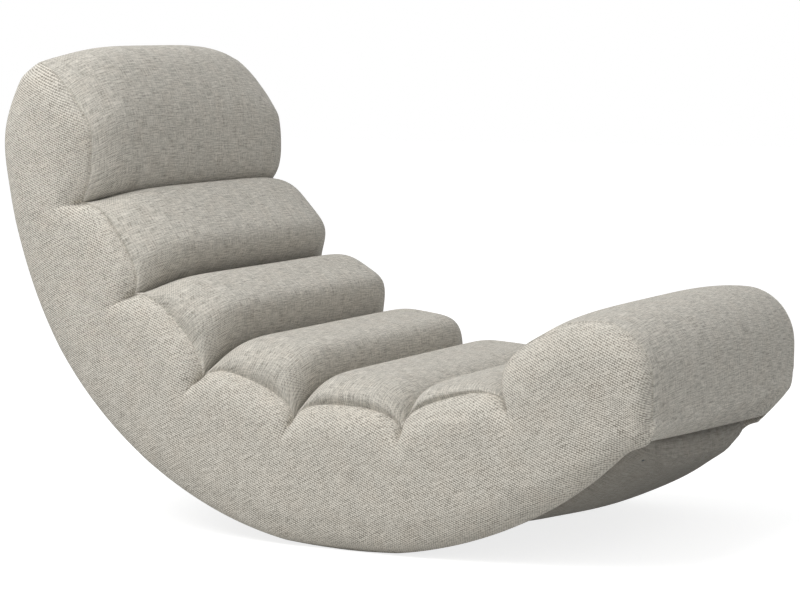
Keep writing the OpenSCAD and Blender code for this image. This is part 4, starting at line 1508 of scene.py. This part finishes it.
@dataclass
class EasedRibs:
    """The side ribs with their top corners eased, so that the head's rounded ends clear them.

    Only points between the two angles round the head's centre and within reach are moved.
    """

    clear: float = 5.0
    between: tuple[float, float] = (40.0, 178.0)
    reach: float = 130.0

    def build(self, rolls: Rolls) -> list[tuple[str, bpy.types.Object]]:
        """Copy both side ribs and pull their corners in under the head's seam.

        Args:
            rolls: The rolls, whose head seam is the limit.

        Returns:
            Node names with the new linked objects.
        """
        seam = rolls.head_seam - OUT.c_head
        angle = np.degrees(np.arctan2(seam[:, 1], seam[:, 0]))
        order = np.argsort(angle)
        centre = OUT.c_head - np.array([OUT.y_mid, 0.0])
        out = []
        for name in ("side_rib_left", "side_rib_right"):
            obj = link(bpy.data.objects.new(name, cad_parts[name].data.copy()))
            bm = bmesh.new()
            bm.from_mesh(obj.data)
            bmesh.ops.remove_doubles(bm, verts=bm.verts, dist=1e-6)
            bm.to_mesh(obj.data)
            bm.free()
            co = coords(obj)
            v = co[:, 1:] / MM - centre
            at, r = np.degrees(np.arctan2(v[:, 1], v[:, 0])), np.linalg.norm(v, axis=1)
            most = np.interp(at, angle[order], np.linalg.norm(seam, axis=1)[order]) - self.clear
            near = (at > self.between[0]) & (at < self.between[1]) & (r < self.reach) & (r > most)
            v[near] *= (most / np.maximum(r, 1))[near, None]
            co[:, 1:] = (v + centre) * MM
            LOG.info("%s has %d eased points", name, int(near.sum()))
            set_coords(obj, co)
            out.append((name, obj))
        return out


@dataclass
class Studio:
    """Camera, floor, backdrop and soft lamps.

    focal is in pixels of a picture 800 wide; the angles are in degrees, lengths in metres.
    """

    azimuth: float = -61.08
    elevation: float = 5.912
    roll: float = -0.41
    focal: float = 2600.0
    place: tuple[float, float, float] = (-4.0582, -2.2325, 0.8718)
    sensor: float = 36.0
    surround: float = 0.52
    floor_half: float = 14.0
    floor_shade: tuple[float, float, float] = (0.45, 0.45, 0.445)
    floor_glow: float = 0.8
    floor_bounce: tuple[float, float, float] = (0.62, 0.62, 0.61)
    aim: tuple[float, float, float] = (0.0, 0.0, 0.35)

    def camera(self) -> None:
        """Set up the camera of the main view."""
        a, e, r = (math.radians(v) for v in (self.azimuth, self.elevation, self.roll))
        back = Vector((math.sin(a) * math.cos(e), -math.cos(a) * math.cos(e), math.sin(e)))
        right = Vector((math.cos(a), math.sin(a), 0))
        up = back.cross(right)
        x = right * math.cos(r) + up * math.sin(r)
        y = -right * math.sin(r) + up * math.cos(r)
        data = bpy.data.cameras.new("camera")
        data.sensor_width = self.sensor
        data.lens = self.focal * self.sensor / 800.0
        data.clip_end = 60.0
        cam = bpy.data.objects.new("camera", data)
        m = Matrix((x, y, back)).transposed().to_4x4()
        m.translation = Vector(self.place)
        cam.matrix_world = m
        bpy.context.scene.camera = link(cam)

    def lamp(
        self, name: str, place: tuple[float, float, float], size: float, watts: float
    ) -> None:
        """Add a square soft lamp that faces the chair.

        Args:
            name: Name of the lamp.
            place: Where it hangs.
            size: Length of its side.
            watts: Its power.
        """
        data = bpy.data.lights.new(name, "AREA")
        data.shape = "SQUARE"
        data.size = size
        data.energy = watts
        obj = bpy.data.objects.new(name, data)
        aim = Vector(self.aim) - Vector(place)
        obj.rotation_euler = aim.to_track_quat("-Z", "Y").to_euler()
        obj.location = place
        link(obj)

    def world(self) -> None:
        """Set a pale surround that the camera sees as white."""
        world = bpy.data.worlds.new("surround")
        bpy.context.scene.world = world
        world.use_nodes = True
        t = world.node_tree
        t.nodes.clear()
        out = t.nodes.new("ShaderNodeOutputWorld")
        path = t.nodes.new("ShaderNodeLightPath")
        camera, direct = (t.nodes.new("ShaderNodeMath") for _ in range(2))
        camera.operation = direct.operation = "MAXIMUM"
        soft, white = (t.nodes.new("ShaderNodeBackground") for _ in range(2))
        soft.inputs["Color"].default_value = (0.97, 0.985, 1.0, 1)
        soft.inputs["Strength"].default_value = self.surround
        white.inputs["Color"].default_value = (1, 1, 1, 1)
        white.inputs["Strength"].default_value = 1.0
        mix = t.nodes.new("ShaderNodeMixShader")
        for source, target in (
            (path.outputs["Is Camera Ray"], camera.inputs[0]),
            (path.outputs["Is Glossy Ray"], camera.inputs[1]),
            (camera.outputs[0], direct.inputs[0]),
            (path.outputs["Is Transmission Ray"], direct.inputs[1]),
            (direct.outputs[0], mix.inputs[0]), (soft.outputs[0], mix.inputs[1]),
            (white.outputs[0], mix.inputs[2]), (mix.outputs[0], out.inputs["Surface"]),
        ):
            t.links.new(source, target)

    def floor(self) -> None:
        """Lay a pale floor that keeps the chair's soft shadow."""
        me = bpy.data.meshes.new("floor")
        s = self.floor_half
        me.from_pydata([(-s, -s, 0), (s, -s, 0), (s, s, 0), (-s, s, 0)], [], [(0, 1, 2, 3)])
        g = Graph("pale_floor")
        path = g.node("LightPath")
        seen = g.math("MAXIMUM", path.outputs["Is Camera Ray"], path.outputs["Is Glossy Ray"])
        seen = g.math("MAXIMUM", seen, path.outputs["Is Transmission Ray"])
        shade, bounce, glow = g.node("BsdfDiffuse"), g.node("BsdfDiffuse"), g.node("Emission")
        g.put(self.floor_shade, shade.inputs["Color"])
        g.put(self.floor_bounce, bounce.inputs["Color"])
        g.put((1.0, 1.0, 1.0), glow.inputs["Color"])
        g.put(self.floor_glow, glow.inputs["Strength"])
        add, mix = g.node("AddShader"), g.node("MixShader")
        g.link(shade.outputs[0], add.inputs[0])
        g.link(glow.outputs[0], add.inputs[1])
        for i, source in enumerate((seen, bounce.outputs[0], add.outputs[0])):
            g.link(source, mix.inputs[i])
        g.link(mix.outputs[0], g.out.inputs["Surface"])
        me.materials.append(g.mat)
        link(bpy.data.objects.new("floor", me))

    def build(self) -> None:
        """Set the whole studio up."""
        self.camera()
        self.world()
        self.floor()
        self.lamp("key", (-2.3, 0.9, 3.9), 3.0, 152.0)
        self.lamp("fill", (-2.2, -3.6, 2.6), 3.0, 18.0)
        bpy.context.scene.view_settings.view_transform = "Standard"


@dataclass(frozen=True)
class Stitching:
    """Rows of small thread stitches, laid along paths by a Geometry Nodes tree.

    pitch, length and radius are in millimetres; slant and jitter lean a stitch off its path.
    """

    name: str
    pitch: float
    length: float
    radius: float
    slant: float = 0.0
    jitter: float = 0.15
    seed: int = 11

    def tree(self, finish: bpy.types.Material) -> bpy.types.GeometryNodeTree:
        """Build the tree: paths to points, a thread on each, made real, with its finish.

        Args:
            finish: Material of the thread.

        Returns:
            The tree with its named inputs.
        """
        t = bpy.data.node_groups.new(self.name + "_tree", "GeometryNodeTree")
        face = t.interface
        face.new_socket("Paths", in_out="INPUT", socket_type="NodeSocketGeometry")
        for label in ("Pitch", "Length", "Radius", "Slant", "Jitter"):
            face.new_socket(label, in_out="INPUT", socket_type="NodeSocketFloat")
        face.new_socket("Seed", in_out="INPUT", socket_type="NodeSocketInt")
        face.new_socket("Stitches", in_out="OUTPUT", socket_type="NodeSocketGeometry")

        def node(kind: str, **values: object) -> bpy.types.Node:
            """Add a node and set its properties."""
            n = t.nodes.new(kind)
            for key, value in values.items():
                setattr(n, key, value)
            return n

        start, end = node("NodeGroupInput"), node("NodeGroupOutput")
        curve = node("GeometryNodeMeshToCurve")
        points = node("GeometryNodeCurveToPoints", mode="LENGTH")
        grain = node("GeometryNodeMeshUVSphere")
        grain.inputs["Segments"].default_value = 6
        grain.inputs["Rings"].default_value = 4
        grain.inputs["Radius"].default_value = 1.0
        lean = node("ShaderNodeVectorMath", operation="SCALE")
        vary = node("FunctionNodeRandomValue", data_type="FLOAT_VECTOR")
        vary.inputs[0].default_value = (-1.0, -1.0, -1.0)
        vary.inputs[1].default_value = (1.0, 1.0, 1.0)
        shake = node("ShaderNodeVectorMath", operation="SCALE")
        add, add_more = (node("ShaderNodeVectorMath", operation="ADD") for _ in range(2))
        turn = node("FunctionNodeAlignRotationToVector", axis="Z")
        half = node("ShaderNodeMath", operation="MULTIPLY")
        half.inputs[1].default_value = 0.5
        size = node("ShaderNodeCombineXYZ")
        put, real = node("GeometryNodeInstanceOnPoints"), node("GeometryNodeRealizeInstances")
        smooth, dress = node("GeometryNodeSetShadeSmooth"), node("GeometryNodeSetMaterial")
        dress.inputs["Material"].default_value = finish
        for source, target in (
            (start.outputs["Paths"], curve.inputs[0]), (curve.outputs[0], points.inputs[0]),
            (start.outputs["Pitch"], points.inputs["Length"]),
            (points.outputs["Normal"], lean.inputs[0]),
            (start.outputs["Slant"], lean.inputs["Scale"]),
            (start.outputs["Seed"], vary.inputs["Seed"]), (vary.outputs[0], shake.inputs[0]),
            (start.outputs["Jitter"], shake.inputs["Scale"]),
            (points.outputs["Tangent"], add.inputs[0]), (lean.outputs[0], add.inputs[1]),
            (add.outputs[0], add_more.inputs[0]), (shake.outputs[0], add_more.inputs[1]),
            (add_more.outputs[0], turn.inputs["Vector"]),
            (start.outputs["Radius"], size.inputs[0]), (start.outputs["Radius"], size.inputs[1]),
            (start.outputs["Length"], half.inputs[0]), (half.outputs[0], size.inputs[2]),
            (points.outputs["Points"], put.inputs["Points"]),
            (grain.outputs["Mesh"], put.inputs["Instance"]),
            (turn.outputs[0], put.inputs["Rotation"]), (size.outputs[0], put.inputs["Scale"]),
            (put.outputs[0], real.inputs[0]), (real.outputs[0], smooth.inputs[0]),
            (smooth.outputs[0], dress.inputs["Geometry"]), (dress.outputs[0], end.inputs[0]),
        ):
            t.links.new(source, target)
        return t

    def sew(self, paths: list[Array], finish: bpy.types.Material) -> bpy.types.Object:
        """Lay the stitches along paths and return them as one plain mesh.

        Args:
            paths: Polylines in millimetres in the profile frame.
            finish: Material of the thread.

        Returns:
            The linked object.
        """
        pts, edges = [], []
        for path in paths:
            base = sum(len(p) for p in pts)
            edges += [(base + i, base + i + 1) for i in range(len(path) - 1)]
            pts.append(OUT.to_frame(path))
        me = bpy.data.meshes.new(self.name + "_paths")
        me.from_pydata(np.vstack(pts).tolist(), edges, [])
        obj = link(bpy.data.objects.new(self.name, me))
        tree = self.tree(finish)
        mod = obj.modifiers.new("stitches", "NODES")
        mod.node_group = tree
        values = {"Pitch": self.pitch * MM, "Length": self.length * MM,
                  "Radius": self.radius * MM, "Slant": self.slant, "Jitter": self.jitter,
                  "Seed": self.seed}
        for item in tree.interface.items_tree:
            if item.name in values and item.in_out == "INPUT":
                mod[item.identifier] = values[item.name]
        bake_in(obj)
        return obj


@dataclass(frozen=True)
class PanelNail:
    """The small dark nail head near the corner of the underside panel."""

    at: tuple[float, float] = (-250.0, -43.4)
    aim_out: float = 20.0
    radius: float = 2.6
    rise: float = 1.3
    around: int = 20
    turned: tuple[tuple[float, float], ...] = (
        (1.0, -0.8), (1.0, 0.05), (0.86, 0.45), (0.6, 0.8), (0.3, 0.97))

    def build(self, panel: bpy.types.Object) -> bpy.types.Object:
        """Turn the domed head on the panel's own surface.

        Args:
            panel: The finished underside panel.

        Returns:
            The linked object.
        """
        co, nrm = coords(panel), normals(panel)
        aim = np.array([self.at[0], *OUT.polar(self.at[1], OUT.rocker_radius + self.aim_out)])
        i = int(np.argmin(np.linalg.norm(co - OUT.to_frame(OUT.slip(aim)), axis=1)))
        n = nrm[i]
        u = unit(np.cross(n, [1.0, 0.0, 0.0]))
        v = np.cross(n, u)
        around, rings = self.around, len(self.turned)
        pts = []
        for r, h in self.turned:
            for k in range(around):
                a = 2 * math.pi * k / around
                spoke = u * math.cos(a) + v * math.sin(a)
                pts.append(co[i] + MM * (self.radius * r * spoke + n * self.rise * h))
        pts.append(co[i] + n * self.rise * MM)
        low = np.arange((rings - 1) * around).reshape(rings - 1, around)
        after = np.roll(low, -1, axis=1)
        walls = np.stack([low, after, after + around, low + around], axis=-1).reshape(-1, 4)
        rim = (rings - 1) * around
        cap = [[rim + k, rim + (k + 1) % around, len(pts) - 1] for k in range(around)]
        foot = list(range(around - 1, -1, -1))
        return closed_mesh("panel_nail", np.array(pts), walls.tolist() + [foot] + cap)


@dataclass
class Tailor:
    """Fine work on the cloth after the swelling: seam grooves and threads."""

    seam_depth: float = 1.5
    seam_width: float = 3.2
    thread_inset: float = 0.6
    tuck_half: float = 284.0

    def finish(self, obj: bpy.types.Object) -> None:
        """Sink the cloth along its seams.

        Args:
            obj: A refined padded piece with rim and shown attributes.
        """
        co, nrm = coords(obj), normals(obj)
        rim, shown = attribute(obj, "rim") / MM, attribute(obj, "shown")
        depth = self.seam_depth * np.exp(-((rim / self.seam_width) ** 2)) * (shown > 0.5)
        set_coords(obj, co - nrm * (depth * MM)[:, None])

    def threads(self, pads: SidePads, rolls: Rolls, wardrobe: Wardrobe) -> None:
        """Sew the seams of the side panels and the closing seam of the tuck.

        Args:
            pads: The side panels, whose seam the thread follows.
            rolls: The rolls on the other side of it.
            wardrobe: Holds the thread's finish.
        """
        _, seam, _ = pads.rails(rolls)
        seam = resample(seam, 900)
        for sign, name in ((1, "seam_thread_left"), (-1, "seam_thread_right")):
            x = np.full(len(seam), sign * (pads.x_seam - self.thread_inset))
            stitches = Stitching(name, pitch=3.4, length=2.5, radius=0.38)
            sewn = stitches.sew([np.column_stack([x, seam])], wardrobe.finishes[Slot.SIDE])
            self.keep(sewn, Slot.SIDE)
        rows = []
        x = np.linspace(-self.tuck_half, self.tuck_half, 120)
        for b, inset in ((OUT.fold_a + 0.15, float(OUT.tuck_inset(0.35))),
                         (OUT.tuck_a - 0.1, 0.6)):
            y, z = OUT.polar(b, OUT.rocker_radius - inset)
            row = np.column_stack([x, np.full(len(x), y), z + np.sin(x / 37) * 0.4])
            rows.append(OUT.slip(row))
        stitches = Stitching("tuck_stitches", pitch=4.6, length=3.8, radius=0.5, slant=0.5)
        # These threads take the darker underside linen, painted shade.
        self.keep(stitches.sew(rows, wardrobe.finishes[Slot.UNDER_PAINTED_SHADE]), Slot.UNDER_PAINTED_SHADE)

    def keep(self, obj: bpy.types.Object, slot: Slot) -> None:
        """Give a sewn or nailed piece to the body."""
        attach(obj, BODY)
        LOG.info("%s has %d faces", obj.name, len(obj.data.polygons))


def main() -> None:
    """Build, swell and dress every piece in order."""
    logging.basicConfig(level=logging.INFO, format="%(name)s: %(message)s")
    studio = Studio()
    studio.build()
    wardrobe = Wardrobe()
    wardrobe.fill()
    HiddenFrame().dress(wardrobe)
    rolls = Rolls()
    grids = rolls.grids()
    pads = SidePads()
    grids += [pads.grid(rolls, 1), pads.grid(rolls, -1)]
    grids += Underside().grids() + rolls.decks()
    pieces = [(g, g.mesh()) for g in grids]
    Inflation().run(pieces)
    tailor = Tailor()
    for grid, obj in pieces:
        tailor.finish(obj)
        wardrobe.dress(obj, grid.slot)
        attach(obj, BODY)
        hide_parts(grid.name)
        LOG.info("%s has %d faces", grid.name, len(obj.data.polygons))
    for name, rib in EasedRibs().build(rolls):
        wardrobe.dress(rib, Slot.PLY)
        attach(rib, BODY)
        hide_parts(name)
    tailor.threads(pads, rolls, wardrobe)
    panel = next(obj for grid, obj in pieces if grid.name == "underside_cover")
    nail = PanelNail().build(panel)
    wardrobe.dress(nail, Slot.STEEL)
    tailor.keep(nail, Slot.STEEL)


if __name__ == "__main__":
    main()
